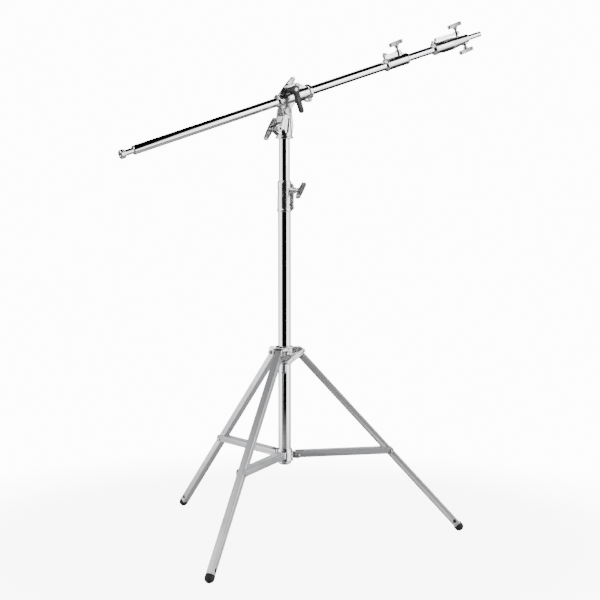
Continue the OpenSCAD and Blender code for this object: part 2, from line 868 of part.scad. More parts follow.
tip_clamp_arm();
tip_clamp_pin();
tip_knob();
tip_screw();
spigot_knob();
spigot_screw();
tip_spigot();
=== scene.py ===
"""Looks of a combination boom stand: tripod base, telescopic column and tilting boom."""

import json
import math

import bmesh
import bpy
from mathutils import Matrix, Vector
from mathutils.geometry import convex_hull_2d


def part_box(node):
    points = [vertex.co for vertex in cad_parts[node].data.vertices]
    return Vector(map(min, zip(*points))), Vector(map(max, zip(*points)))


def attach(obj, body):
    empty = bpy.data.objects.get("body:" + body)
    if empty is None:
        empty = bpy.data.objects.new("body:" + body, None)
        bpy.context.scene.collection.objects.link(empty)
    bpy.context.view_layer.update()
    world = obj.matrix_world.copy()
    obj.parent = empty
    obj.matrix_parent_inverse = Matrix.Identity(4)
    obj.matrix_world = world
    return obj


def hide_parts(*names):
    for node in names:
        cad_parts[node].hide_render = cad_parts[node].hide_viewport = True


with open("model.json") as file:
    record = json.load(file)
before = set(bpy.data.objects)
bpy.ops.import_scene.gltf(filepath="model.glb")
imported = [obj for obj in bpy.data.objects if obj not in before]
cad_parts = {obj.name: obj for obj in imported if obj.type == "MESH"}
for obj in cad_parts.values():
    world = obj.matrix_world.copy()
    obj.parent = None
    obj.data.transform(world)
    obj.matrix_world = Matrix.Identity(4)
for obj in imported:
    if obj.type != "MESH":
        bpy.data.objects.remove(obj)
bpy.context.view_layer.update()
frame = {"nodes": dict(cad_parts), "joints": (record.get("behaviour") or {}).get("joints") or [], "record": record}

MM = 0.001
LEGS = ("right", "left", "front")
JOINTS = {joint["name"]: joint for joint in frame["joints"]}
MOUNTS = {mount["name"]: mount for mount in frame["record"]["mounts"]}

# ---------------------------------------------------------------- local frames


def frame_along(origin, along, up):
    """A frame at origin whose X points along, with Z as near to up as it can be."""
    x_axis = Vector(along).normalized()
    y_axis = Vector(up).cross(x_axis).normalized()
    z_axis = x_axis.cross(y_axis)
    turn = Matrix((x_axis, y_axis, z_axis)).transposed().to_4x4()
    return Matrix.Translation(Vector(origin)) @ turn


UP = Vector((0, 0, 1))
BOOM_DIR = Vector(JOINTS["boom_slide"]["axis"])
SPIGOT_POINT = Vector(MOUNTS["tip_spigot"]["pos_m"])
BOOM = frame_along(SPIGOT_POINT - BOOM_DIR * (SPIGOT_POINT.x / BOOM_DIR.x), BOOM_DIR, UP)
HEAD = frame_along((0, 0, 0), (BOOM_DIR.x, BOOM_DIR.y, 0), UP)
COLUMN = Matrix.Identity(4)
TILT = Vector(JOINTS["boom_tilt"]["pos_m"])


def leg_frames(leg):
    """The upright plane of a leg, the leg's own frame and its brace's frame, X pointing outward."""
    rivet = Vector(JOINTS[f"leg_{leg}_fold"]["pos_m"])
    hub = Vector(JOINTS[f"brace_{leg}_fold"]["pos_m"])
    outward = Vector((rivet.x, rivet.y, 0)).normalized()
    foot_low, foot_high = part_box(f"foot_{leg}")
    foot = (foot_low + foot_high) / 2
    foot.z = FOOT_DOME_R * MM
    foot = outward * FOOT_CIRCLE_R * MM + UP * foot.z
    plane = frame_along((0, 0, 0), outward, UP)
    tube = frame_along(rivet, foot - rivet, UP)
    brace = frame_along(hub, rivet - hub, UP)
    return plane, tube, brace


def extent(node, local):
    """Lowest and highest corner of a CAD node in a local frame, in millimetres."""
    to_local = local.inverted()
    points = [to_local @ vertex.co for vertex in frame["nodes"][node].data.vertices]
    low = Vector([min(point[axis] for point in points) for axis in range(3)])
    high = Vector([max(point[axis] for point in points) for axis in range(3)])
    return low / MM, high / MM


# ---------------------------------------------------------------- driving dimensions, mm

FOOT_DOME_R = 13.0
FOOT_CIRCLE_R = 497.0
FOOT_FLANGE_L = 8.0
FOOT_LUG_D = 23.0
FOOT_LUG_R = 5.0
LEG_HALF = 10.0
LEG_CORNER_R = 3.0
LEG_WALL = 1.7
BRACE_WALL = 1.7
BRACE_LOW = -5.5
BRACE_HIGH = 13.5
WEB_START = 18.0
WEB_STOP = 28.0
WEB_CORNER_R = 3.0
EAR_CUT_H = 4.5
HUB_TOP = 243.0
PIN_R = 3.0
PIN_HEAD_R = 5.5
PIN_HEAD_H = 2.6
LOWER_TUBE_R = 17.5
UPPER_TUBE_R = 15.0
BOOM_R = 12.5
EXTENSION_R = 11.0
SPIGOT_R = 8.0
STUD_BORE_R = 3.97
STUD_BORE_L = 22.0
SCREW_R = 4.0
SCREW_BORE_R = 4.1
SMALL_PIN_R = 2.5
SCREW_PITCH = 1.25
PLAIN_SHANK_L = 8.0
TILT_BOLT_R = 5.0
HANDLE_L = 68.0
HANDLE_T = 10.0
LEG_PIVOT_R = 42.0
LEG_PIVOT_Z = 514.0
HUB_PIVOT_R = 36.0
HUB_PIVOT_Z = 231.0
CHEEK_IN = 10.4
CHEEK_OUT = 14.6
FORK_IN = 14.0
FORK_OUT = 20.5
TILT_Z = TILT.z / MM
PINCH_X = -25.0
PINCH_Z = 1127.0
LEVER_X = 14.0
LEVER_Z = 22.0
CLAMP_BOLT_X = 44.0
CLAMP_BOLT_Z = 26.0
CAST_VOXEL = 0.9

# ---------------------------------------------------------------- mesh making


class Solid:
    """Closed shapes drawn in millimetres in a local frame, kept apart until they are joined."""

    def __init__(self, local):
        self.local = local
        self.shapes = []

    def started(self):
        """A new shape; it takes the local frame that is set while it is drawn."""
        shape = bmesh.new()
        self.shapes.append((shape, self.local))
        return shape

    def lathe(self, start, axis, profile, closed=False, segments=64):
        """Turns a profile of (distance along the axis, radius) round the axis."""
        shape = self.started()
        axis = Vector(axis).normalized()
        side = axis.orthogonal().normalized()
        other = axis.cross(side)
        rings = []
        for along, radius in profile:
            centre = Vector(start) + axis * along
            if radius < 1e-6:
                rings.append([shape.verts.new(centre)])
                continue
            ring = []
            for step in range(segments):
                angle = 2 * math.pi * step / segments
                spoke = side * math.cos(angle) + other * math.sin(angle)
                ring.append(shape.verts.new(centre + spoke * radius))
            rings.append(ring)
        pairs = list(zip(rings, rings[1:]))
        if closed:
            pairs.append((rings[-1], rings[0]))
        for near, far in pairs:
            for step in range(segments):
                after = (step + 1) % segments
                if len(near) == 1:
                    shape.faces.new((near[0], far[after], far[step]))
                elif len(far) == 1:
                    shape.faces.new((near[step], near[after], far[0]))
                else:
                    shape.faces.new((near[step], near[after], far[after], far[step]))

    def rod(self, start, end, radius, edge=0.0, end_radius=None, segments=64):
        """A round bar from start to end, with its rims rounded by edge."""
        far_radius = radius if end_radius is None else end_radius
        axis = Vector(end) - Vector(start)
        length = axis.length
        profile = [(0, 0)] + rounded_rim(0, radius, edge, 1)
        profile += rounded_rim(length, far_radius, edge, -1)[::-1] + [(length, 0)]
        self.lathe(start, axis, profile, segments=segments)

    def rod_x(self, start, end, radius, **rest):
        """A round bar on the local X axis."""
        self.rod((start, 0, 0), (end, 0, 0), radius, **rest)

    def rod_y(self, x, z, start, end, radius, **rest):
        """A round bar parallel to Y, through x and z."""
        self.rod((x, start, z), (x, end, z), radius, **rest)

    def rod_z(self, start, end, radius, **rest):
        """A round bar on the local Z axis."""
        self.rod((0, 0, start), (0, 0, end), radius, **rest)

    def block(self, low, high, edge=0.0):
        """A box between two corners, with its edges rounded by edge."""
        shape = self.started()
        low, high = Vector(low), Vector(high)
        made = bmesh.ops.create_cube(shape, size=1)["verts"]
        for vertex in made:
            for axis in range(3):
                vertex.co[axis] = low[axis] if vertex.co[axis] < 0 else high[axis]
        if edge:
            bmesh.ops.bevel(shape, geom=list(shape.edges), offset=edge, segments=3,
                            affect="EDGES", profile=0.5)

    def plate(self, circles, low, high, normal="Y", corner=16):
        """A flat plate whose outline wraps circles of (u, v, radius), between two planes."""
        points = []
        for u, v, radius in circles:
            for step in range(corner * 2):
                angle = math.pi * step / corner
                points.append(Vector((u + radius * math.cos(angle), v + radius * math.sin(angle))))
        self.prism([points[index] for index in convex_hull_2d(points)], low, high, normal)

    def hexagon(self, u, v, radius, low, high, normal="Y", turn=0.0):
        """A six-sided bar between two planes, radius to its corners."""
        outline = []
        for corner in range(6):
            angle = math.pi / 3 * corner + turn
            outline.append((u + radius * math.cos(angle), v + radius * math.sin(angle)))
        self.prism(outline, low, high, normal)

    def prism(self, outline, low, high, normal="Y"):
        """An outline of (u, v) pushed between two planes square to the given axis."""
        shape = self.started()
        sides = []
        for depth in (low, high):
            verts = []
            for u, v in outline:
                place = {"X": (depth, u, v), "Y": (u, depth, v), "Z": (u, v, depth)}[normal]
                verts.append(shape.verts.new(place))
            sides.append(verts)
        shape.faces.new(sides[0])
        shape.faces.new(sides[1][::-1])
        count = len(outline)
        for step in range(count):
            after = (step + 1) % count
            shape.faces.new((sides[0][step], sides[0][after], sides[1][after], sides[1][step]))

    def meshes(self, name):
        """Each shape as a mesh of its own, in metres, in the shared frame."""
        made = []
        for shape, local in self.shapes:
            bmesh.ops.recalc_face_normals(shape, faces=shape.faces)
            bmesh.ops.transform(shape, matrix=local @ Matrix.Scale(MM, 4), verts=shape.verts)
            data = bpy.data.meshes.new(name)
            shape.to_mesh(data)
            shape.free()
            made.append(data)
        return made

    def mesh(self, name):
        """All the shapes in one mesh."""
        return joined(name, *self.meshes(name))

    def object(self, name):
        return added(name, self.mesh(name))


def joined(name, *meshes):
    """One mesh out of several."""
    whole = bmesh.new()
    for data in meshes:
        whole.from_mesh(data)
    made = bpy.data.meshes.new(name)
    whole.to_mesh(made)
    whole.free()
    return made


def added(name, data):
    """An object in the scene for a mesh."""
    made = bpy.data.objects.new(name, data)
    bpy.context.scene.collection.objects.link(made)
    return made


def rounded_rim(place, radius, edge, inward):
    """Profile points of a rim at place, rounded by edge; inward is +1 at a start, -1 at an end."""
    if not edge:
        return [(place, radius)]
    steps = 4
    rim = []
    for step in range(steps + 1):
        angle = math.pi / 2 * step / steps
        rim.append((place + inward * edge * (1 - math.sin(angle)),
                    radius - edge * (1 - math.cos(angle))))
    return rim[::-1]


def evaluated(made):
    """Replaces an object's mesh by the result of its modifiers."""
    graph = bpy.context.evaluated_depsgraph_get()
    data = bpy.data.meshes.new_from_object(made.evaluated_get(graph))
    made.modifiers.clear()
    made.data = data
    return made


def smooth(made, angle=35):
    """Smooth shading, except over edges sharper than angle."""
    for face in made.data.polygons:
        face.use_smooth = True
    made.data.set_sharp_from_angle(angle=math.radians(angle))
    return made


def cut(made, holes, operation="DIFFERENCE"):
    """Takes each of the holes out of an object, one after the other."""
    cutters = [added("cutter", data) for data in holes.meshes("cutter")]
    for cutter in cutters:
        step = made.modifiers.new("cut", "BOOLEAN")
        step.operation = operation
        step.solver = "MANIFOLD"
        step.object = cutter
    evaluated(made)
    for cutter in cutters:
        bpy.data.objects.remove(cutter)
    return made


def cast(solid, name, holes=None, voxel=CAST_VOXEL, softness=5):
    """A casting: the shapes melt into one skin with filleted corners, then its holes are bored."""
    made = solid.object(name)
    skin = made.modifiers.new("skin", "REMESH")
    skin.mode = "VOXEL"
    skin.voxel_size = voxel * MM
    relax = made.modifiers.new("relax", "SMOOTH")
    relax.factor = 0.5
    relax.iterations = softness
    evaluated(made)
    if holes:
        cut(made, holes)
    return smooth(made)


def finish_piece(made, body, slot, material, *nodes):
    """Gives a piece its material, its body and the CAD nodes that it stands for."""
    made.data.materials.clear()
    made.data.materials.append(material)
    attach(made, body)
    if nodes:
        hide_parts(*nodes)
    return made


# ---------------------------------------------------------------- shader making


class Value:
    """A shader socket that can be used in sums."""

    def __init__(self, shader, socket):
        self.shader = shader
        self.socket = socket

    def joined(self, operation, first, second):
        return self.shader.node("ShaderNodeMath", {"operation": operation}, {0: first, 1: second})

    def __add__(self, other):
        return self.joined("ADD", self, other)

    __radd__ = __add__

    def __sub__(self, other):
        return self.joined("SUBTRACT", self, other)

    def __rsub__(self, other):
        return self.joined("SUBTRACT", other, self)

    def __mul__(self, other):
        return self.joined("MULTIPLY", self, other)

    __rmul__ = __mul__


class Shader:
    """The node tree of one material or of the world."""

    def __init__(self, owner):
        owner.use_nodes = True
        self.owner = owner
        self.tree = owner.node_tree
        self.tree.nodes.clear()

    def node(self, kind, settings, values, output=0):
        """Makes a node: settings first, then the numbers, colours or links of its sockets."""
        made = self.tree.nodes.new(kind)
        for key, setting in settings.items():
            setattr(made, key, setting)
        for key, value in values.items():
            if isinstance(value, Value):
                self.tree.links.new(value.socket, made.inputs[key])
            else:
                made.inputs[key].default_value = value
        return Value(self, made.outputs[output]) if made.outputs else None

    def local(self, frame_matrix, stretch):
        """Object coordinates in a local frame, in metres, drawn out by stretch on each axis."""
        place = self.node("ShaderNodeTexCoord", {}, {}, output="Object")
        return self.node("ShaderNodeMapping", {"vector_type": "TEXTURE"}, {
            "Vector": place,
            "Location": frame_matrix.to_translation(),
            "Rotation": frame_matrix.to_euler(),
            "Scale": stretch,
        })

    def noise(self, vector, scale, detail=2.0, roughness=0.5):
        return self.node("ShaderNodeTexNoise", {}, {
            "Vector": vector, "Scale": scale, "Detail": detail, "Roughness": roughness})

    def ramp(self, factor, low, high):
        """0 below low, 1 above high, and even in between."""
        return self.node("ShaderNodeMapRange", {"clamp": True}, {
            "Value": factor, "From Min": low, "From Max": high, "To Min": 0.0, "To Max": 1.0})

    def mix(self, factor, first, second):
        return self.node("ShaderNodeMix", {"data_type": "RGBA"}, {
            0: factor, 6: first, 7: second}, output=2)

    def surface(self, colour, roughness, metallic, height=None, depth=0.1, strength=1.0, **rest):
        """Ends the tree in one Principled surface, with a bump if a height is given."""
        values = {"Base Color": colour, "Roughness": roughness, "Metallic": metallic}
        values.update(rest)
        if height is not None:
            values["Normal"] = self.node("ShaderNodeBump", {}, {
                "Strength": strength, "Distance": depth * MM, "Height": height})
        skin = self.node("ShaderNodeBsdfPrincipled", {}, values)
        self.node("ShaderNodeOutputMaterial", {}, {"Surface": skin})
        return self.owner


def new_shader(name):
    return Shader(bpy.data.materials.new(name))


def chrome_tube(name, frame_matrix, tint=(0.86, 0.87, 0.89, 1)):
    """Bright plate on drawn tube: faint lines along it, wiping marks and slight waviness."""
    shader = new_shader(name)
    drawn = shader.noise(shader.local(frame_matrix, (60, 1, 1)), 700, 2)
    wiped = shader.noise(shader.local(frame_matrix, (3, 1, 1)), 26, 4, 0.6)
    wavy = shader.noise(shader.local(frame_matrix, (12, 1, 1)), 30, 1)
    marks = shader.ramp(wiped, 0.42, 0.72)
    scuffs = shader.ramp(shader.noise(shader.local(frame_matrix, (1, 9, 9)), 120, 2), 0.70, 0.76)
    roughness = 0.04 + marks * 0.05 + drawn * 0.02 + scuffs * 0.06
    worn = (tint[0] * 0.93, tint[1] * 0.92, tint[2] * 0.91, 1)
    colour = shader.mix(marks * 0.5 + scuffs * 0.3, tint, worn)
    return shader.surface(colour, roughness, 1.0, drawn * 0.1 + wavy, depth=0.01, strength=0.05)


def satin_steel(name, frame_matrix, tint=(0.76, 0.77, 0.79, 1), gloss=0.50):
    """Plated square tube or pressed channel: grain along it, handling scratches, duller patches."""
    shader = new_shader(name)
    grain = shader.noise(shader.local(frame_matrix, (30, 1, 1)), 420, 3, 0.6)
    patches = shader.noise(shader.local(frame_matrix, (2, 1, 1)), 22, 4, 0.6)
    scratches = shader.ramp(
        shader.noise(shader.local(frame_matrix, (1, 12, 12)), 90, 2), 0.67, 0.72)
    dull = shader.ramp(patches, 0.40, 0.75)
    streaks = shader.ramp(grain, 0.35, 0.65)
    roughness = gloss + streaks * 0.06 + dull * 0.06 + scratches * 0.08
    worn = (tint[0] * 0.80, tint[1] * 0.80, tint[2] * 0.80, 1)
    colour = shader.mix(dull * 0.5 + streaks * 0.4, tint, worn)
    return shader.surface(colour, roughness, 1.0, grain * 0.5 + patches, depth=0.02, strength=0.03)


def cast_metal(name, frame_matrix, tint=(0.80, 0.80, 0.81, 1), gloss=0.16):
    """Plated casting: a fine skin like orange peel, soft swells from polishing and dull pits."""
    shader = new_shader(name)
    place = shader.local(frame_matrix, (1, 1, 1))
    peel = shader.noise(place, 340, 2)
    swell = shader.noise(place, 70, 3)
    pits = shader.ramp(shader.noise(place, 260, 1), 0.72, 0.78)
    dull = shader.ramp(swell, 0.38, 0.72)
    roughness = gloss + dull * 0.08 + peel * 0.04 + pits * 0.12
    colour = shader.mix(dull * 0.7 + pits * 0.3, tint,
                        (tint[0] * 0.80, tint[1] * 0.80, tint[2] * 0.79, 1))
    height = peel * 0.25 + swell - pits * 0.4
    return shader.surface(colour, roughness, 1.0, height, depth=0.04, strength=0.10)


def zinc_steel(name, frame_matrix, tint=(0.58, 0.58, 0.57, 1)):
    """Bolts and rivets: zinc plate with turning marks and small bruises."""
    shader = new_shader(name)
    place = shader.local(frame_matrix, (1, 1, 1))
    turned = shader.noise(place, 1500, 2)
    bruised = shader.ramp(shader.noise(place, 260, 3), 0.50, 0.70)
    roughness = 0.28 + turned * 0.10 + bruised * 0.14
    colour = shader.mix(bruised, tint, (tint[0] * 0.68, tint[1] * 0.66, tint[2] * 0.62, 1))
    return shader.surface(colour, roughness, 1.0, turned + bruised * 0.4, depth=0.04, strength=0.5)


def black_rubber(name):
    """Moulded rubber: matte, with grain, and dusty on its lower swells."""
    shader = new_shader(name)
    place = shader.local(COLUMN, (1, 1, 1))
    grain = shader.noise(place, 900, 3)
    dust = shader.ramp(shader.noise(place, 120, 4, 0.65), 0.48, 0.78)
    colour = shader.mix(dust * 0.5, (0.012, 0.012, 0.013, 1), (0.060, 0.058, 0.055, 1))
    return shader.surface(colour, 0.62 + grain * 0.2 + dust * 0.1, 0.0, grain, depth=0.12)


def black_plastic(name, tint=(0.008, 0.008, 0.009, 1)):
    """Textured moulded plastic, polished a little where it is handled."""
    shader = new_shader(name)
    place = shader.local(COLUMN, (1, 1, 1))
    spark = shader.noise(place, 1300, 2)
    handled = shader.ramp(shader.noise(place, 60, 2), 0.40, 0.65)
    colour = shader.mix(handled * 0.6, tint, (tint[0] * 2.2, tint[1] * 2.2, tint[2] * 2.2, 1))
    return shader.surface(colour, 0.50 - handled * 0.14 + spark * 0.12, 0.0, spark, depth=0.08)


def turned_brass(name):
    """Machined brass pad with tarnish."""
    shader = new_shader(name)
    place = shader.local(COLUMN, (1, 1, 1))
    tarnish = shader.ramp(shader.noise(place, 300, 3), 0.40, 0.70)
    colour = shader.mix(tarnish, (0.72, 0.52, 0.24, 1), (0.40, 0.27, 0.12, 1))
    return shader.surface(colour, 0.25 + tarnish * 0.2, 1.0, tarnish, depth=0.03)


PLANES, LEG_FRAMES, BRACE_FRAMES = {}, {}, {}
for leg in LEGS:
    PLANES[leg], LEG_FRAMES[leg], BRACE_FRAMES[leg] = leg_frames(leg)

TUBE_ALONG_Z = frame_along((0, 0, 0), (0, 0, 1), (1, 0, 0))
COLUMN_CHROME = chrome_tube("column_chrome", TUBE_ALONG_Z)
BOOM_CHROME = chrome_tube("boom_chrome", BOOM)
COLUMN_CAST = cast_metal("column_casting", COLUMN)
HEAD_CAST = cast_metal("head_casting", HEAD, gloss=0.13)
BOOM_CAST = cast_metal("boom_casting", BOOM, gloss=0.13)
HANDLE_CAST = cast_metal("handle_casting", HEAD, tint=(0.56, 0.56, 0.57, 1), gloss=0.28)
ZINC = zinc_steel("zinc_steel", HEAD)
BLACK_STEEL = zinc_steel("black_steel", HEAD, tint=(0.06, 0.06, 0.065, 1))
RUBBER = black_rubber("rubber")
LEVER_PLASTIC = black_plastic("lever_plastic")
GUIDE_PLASTIC = black_plastic("guide_plastic", tint=(0.05, 0.05, 0.052, 1))
BRASS = turned_brass("brass")

# ---------------------------------------------------------------- repeats by Geometry Nodes


class Repeat:
    """A node tree that sets one small shape on every marked point of a mesh."""

    def __init__(self, name, inputs, material):
        self.tree = bpy.data.node_groups.new(name, "GeometryNodeTree")
        interface = self.tree.interface
        interface.new_socket("Points", in_out="INPUT", socket_type="NodeSocketGeometry")
        self.sockets = {}
        for label, value in inputs.items():
            socket = interface.new_socket(label, in_out="INPUT", socket_type="NodeSocketFloat")
            socket.default_value = value
            self.sockets[label] = socket.identifier
        interface.new_socket("Pieces", in_out="OUTPUT", socket_type="NodeSocketGeometry")
        self.given = self.tree.nodes.new("NodeGroupInput")
        self.material = material

    def node(self, kind, settings, values, output=0):
        made = self.tree.nodes.new(kind)
        for key, setting in settings.items():
            setattr(made, key, setting)
        for key, value in values.items():
            if isinstance(value, bpy.types.NodeSocket):
                self.tree.links.new(value, made.inputs[key])
            else:
                made.inputs[key].default_value = value
        return made.outputs[output]

    def end(self, shape):
        """Sets the shape on the points along their aim, and closes the tree."""
        aim = self.node("GeometryNodeInputNamedAttribute", {"data_type": "FLOAT_VECTOR"},
                        {"Name": "aim"})
        turn = self.node("FunctionNodeAlignRotationToVector", {"axis": "Z"}, {"Vector": aim})
        placed = self.node("GeometryNodeInstanceOnPoints", {}, {
            "Points": self.given.outputs["Points"], "Instance": shape, "Rotation": turn})
        solid = self.node("GeometryNodeRealizeInstances", {}, {"Geometry": placed})
        coated = self.node("GeometryNodeSetMaterial", {}, {
            "Geometry": solid, "Material": self.material})
        last = self.tree.nodes.new("NodeGroupOutput")
        self.tree.links.new(coated, last.inputs[0])

    def made_on(self, name, points, aims, **sizes):
        """Runs the tree on points with aims, both in metres, and gives a plain mesh object."""
        data = bpy.data.meshes.new(name)
        data.from_pydata(points, [], [])
        marks = data.attributes.new("aim", "FLOAT_VECTOR", "POINT")
        for index, aim in enumerate(aims):
            marks.data[index].vector = aim
        made = bpy.data.objects.new(name, data)
        bpy.context.scene.collection.objects.link(made)
        step = made.modifiers.new("repeat", "NODES")
        step.node_group = self.tree
        for label, value in sizes.items():
            step[self.sockets[label]] = value
        evaluated(made)
        made.data.materials.clear()
        return smooth(made, 40)


def domed_head_tree():
    """Domed rivet head on a low washer face; its back face lies on the point."""
    repeat = Repeat("domed_heads", {"radius": 0.0055, "height": 0.0026}, ZINC)
    radius = repeat.given.outputs["radius"]
    height = repeat.given.outputs["height"]
    skirt = repeat.node("ShaderNodeMath", {"operation": "MULTIPLY"}, {0: height, 1: 0.35})
    disc = repeat.node("GeometryNodeMeshCylinder", {}, {
        "Vertices": 40, "Radius": radius, "Depth": skirt})
    lift = repeat.node("ShaderNodeMath", {"operation": "MULTIPLY"}, {0: skirt, 1: 0.5})
    up = repeat.node("ShaderNodeCombineXYZ", {}, {"Z": lift})
    disc_up = repeat.node("GeometryNodeTransform", {}, {"Geometry": disc, "Translation": up})
    ball = repeat.node("GeometryNodeMeshUVSphere", {}, {
        "Segments": 40, "Rings": 20, "Radius": 1.0})
    swell = repeat.node("ShaderNodeMath", {"operation": "SUBTRACT"}, {0: height, 1: skirt})
    inner = repeat.node("ShaderNodeMath", {"operation": "MULTIPLY"}, {0: radius, 1: 0.93})
    squeeze = repeat.node("ShaderNodeCombineXYZ", {}, {"X": inner, "Y": inner, "Z": swell})
    seat = repeat.node("ShaderNodeCombineXYZ", {}, {"Z": skirt})
    dome = repeat.node("GeometryNodeTransform", {}, {
        "Geometry": ball, "Scale": squeeze, "Translation": seat})
    join = repeat.tree.nodes.new("GeometryNodeJoinGeometry")
    repeat.tree.links.new(disc_up, join.inputs[0])
    repeat.tree.links.new(dome, join.inputs[0])
    repeat.end(join.outputs[0])
    return repeat


def rib_tree():
    """Small rounded rib, longer than wide, for grips and serrated rims."""
    repeat = Repeat("ribs", {"width": 0.0012, "length": 0.006}, LEVER_PLASTIC)
    ball = repeat.node("GeometryNodeMeshUVSphere", {}, {
        "Segments": 12, "Rings": 8, "Radius": 0.5})
    size = repeat.node("ShaderNodeCombineXYZ", {}, {
        "X": repeat.given.outputs["width"], "Y": repeat.given.outputs["width"],
        "Z": repeat.given.outputs["length"]})
    rib = repeat.node("GeometryNodeTransform", {}, {"Geometry": ball, "Scale": size})
    repeat.end(rib)
    return repeat


HEADS = domed_head_tree()
RIBS = rib_tree()

# ---------------------------------------------------------------- tubes


def tube_profile(start, end, outer, inner, edge=0.6):
    """Closed profile of a tube with rounded rims."""
    outside = rounded_rim(start, outer, edge, 1) + rounded_rim(end, outer, edge, -1)[::-1]
    return outside + [(end, inner), (start, inner)]


def round_tube(name, node, body, slot, material, local, axis, outer, wall):
    """Stands for a CAD tube, with the same ends and rounded rims."""
    low, high = extent(node, local)
    start, end = low[axis], high[axis]
    direction = [0, 0, 0]
    direction[axis] = 1
    solid = Solid(local)
    solid.lathe((0, 0, 0), direction, tube_profile(start, end, outer, outer - wall), closed=True,
                segments=128)
    return finish_piece(smooth(solid.object(name)), body, slot, material, node)


def build_tubes():
    round_tube("lower_column", "lower_column_tube", "column", "chrome_tube", COLUMN_CHROME,
               COLUMN, 2, LOWER_TUBE_R, 2.0)
    round_tube("upper_column", "upper_column_tube", "upper_column", "chrome_tube", COLUMN_CHROME,
               COLUMN, 2, UPPER_TUBE_R, 1.5)
    round_tube("boom_pole", "boom_tube", "boom", "chrome_tube", BOOM_CHROME, BOOM, 0, BOOM_R, 1.2)
    round_tube("extension_pole", "extension_tube", "extension", "chrome_tube", BOOM_CHROME,
               BOOM, 0, EXTENSION_R, 1.4)


# ---------------------------------------------------------------- legs and braces


def rounded_square(half, radius, steps=6):
    """Corner points of a square outline with round corners."""
    outline = []
    for quarter in range(4):
        turn = math.pi / 2 * quarter
        centre = Vector((half - radius, half - radius))
        for step in range(steps + 1):
            angle = math.pi / 2 * step / steps
            point = centre + Vector((math.cos(angle), math.sin(angle))) * radius
            outline.append((point.x * math.cos(turn) - point.y * math.sin(turn),
                            point.x * math.sin(turn) + point.y * math.cos(turn)))
    return outline


def deburr(made, width):
    """Rounds a sheet part's sharp edges, the width in millimetres."""
    bevel = made.modifiers.new("deburr", "BEVEL")
    bevel.width = width * MM
    bevel.segments = 2
    bevel.limit_method = "ANGLE"
    bevel.angle_limit = math.radians(50)
    evaluated(made)


def leg_tube(leg):
    """Square tube with rolled corners, open at the top and drilled for the rivet and the foot."""
    local = LEG_FRAMES[leg]
    low, high = extent(f"leg_tube_{leg}", local)
    foot_end = extent(f"foot_{leg}", local)[1].x
    lug = foot_end - FOOT_DOME_R - FOOT_LUG_D
    solid = Solid(local)
    solid.prism(rounded_square(LEG_HALF, LEG_CORNER_R), low.x, high.x, "X")
    made = solid.object(f"leg_{leg}")
    holes = Solid(local)
    inner = rounded_square(LEG_HALF - LEG_WALL, LEG_CORNER_R - LEG_WALL + 0.4)
    holes.prism(inner, low.x - 5, high.x + 5, "X")
    holes.rod_y(lug, 0, -15, 15, FOOT_LUG_R + 0.2, segments=40)
    holes.rod_y(0, 0, -15, 15, PIN_R, segments=32)
    cut(made, holes)
    deburr(made, 0.35)
    material = satin_steel(f"leg_plate_{leg}", local)
    finish_piece(smooth(made, 30), f"leg_{leg}", "leg_steel", material, f"leg_tube_{leg}")


def rubber_foot(leg):
    """Domed rubber foot with two moulded rings, its plug and the lug that shows in the tube."""
    local = LEG_FRAMES[leg]
    low, high = extent(f"foot_{leg}", local)
    centre = high.x - FOOT_DOME_R
    flange = centre - FOOT_FLANGE_L
    profile = [(flange, 0), (flange, 12.2), (flange + 0.8, FOOT_DOME_R),
               (flange + 3.0, FOOT_DOME_R), (flange + 3.4, 12.3), (flange + 4.4, 12.3),
               (flange + 4.8, FOOT_DOME_R),
               (centre, FOOT_DOME_R)]
    steps = 16
    for step in range(1, steps):
        angle = math.pi / 2 * step / steps
        profile.append((centre + FOOT_DOME_R * math.sin(angle), FOOT_DOME_R * math.cos(angle)))
    profile.append((high.x, 0))
    solid = Solid(local)
    solid.lathe((0, 0, 0), (1, 0, 0), profile)
    solid.block((low.x, -8.0, -8.0), (flange + 2, 8.0, 8.0), 1.0)
    lug = centre - FOOT_LUG_D
    solid.rod_y(lug, 0, -10.6, 10.6, FOOT_LUG_R, edge=0.8, segments=40)
    finish_piece(smooth(solid.object(f"rubber_foot_{leg}")), f"leg_{leg}", "rubber_foot", RUBBER,
                 f"foot_{leg}")


def channel_outline(half, low, high, wall, bend):
    """Section of a pressed channel, open downward, with round bends: (y, z) points."""
    def arc(radius, sign, start, stop):
        points = []
        steps = 6
        for step in range(steps + 1):
            angle = math.radians(start + (stop - start) * step / steps)
            points.append((sign * (half - bend) + radius * math.cos(angle),
                           high - bend + radius * math.sin(angle)))
        return points
    outline = [(half, low)] + arc(bend, 1, 0, 90) + arc(bend, -1, 90, 180) + [(-half, low)]
    outline += [(-half + wall, low)] + arc(bend - wall, -1, 180, 90)
    outline += arc(bend - wall, 1, 90, 0) + [(half - wall, low)]
    return outline


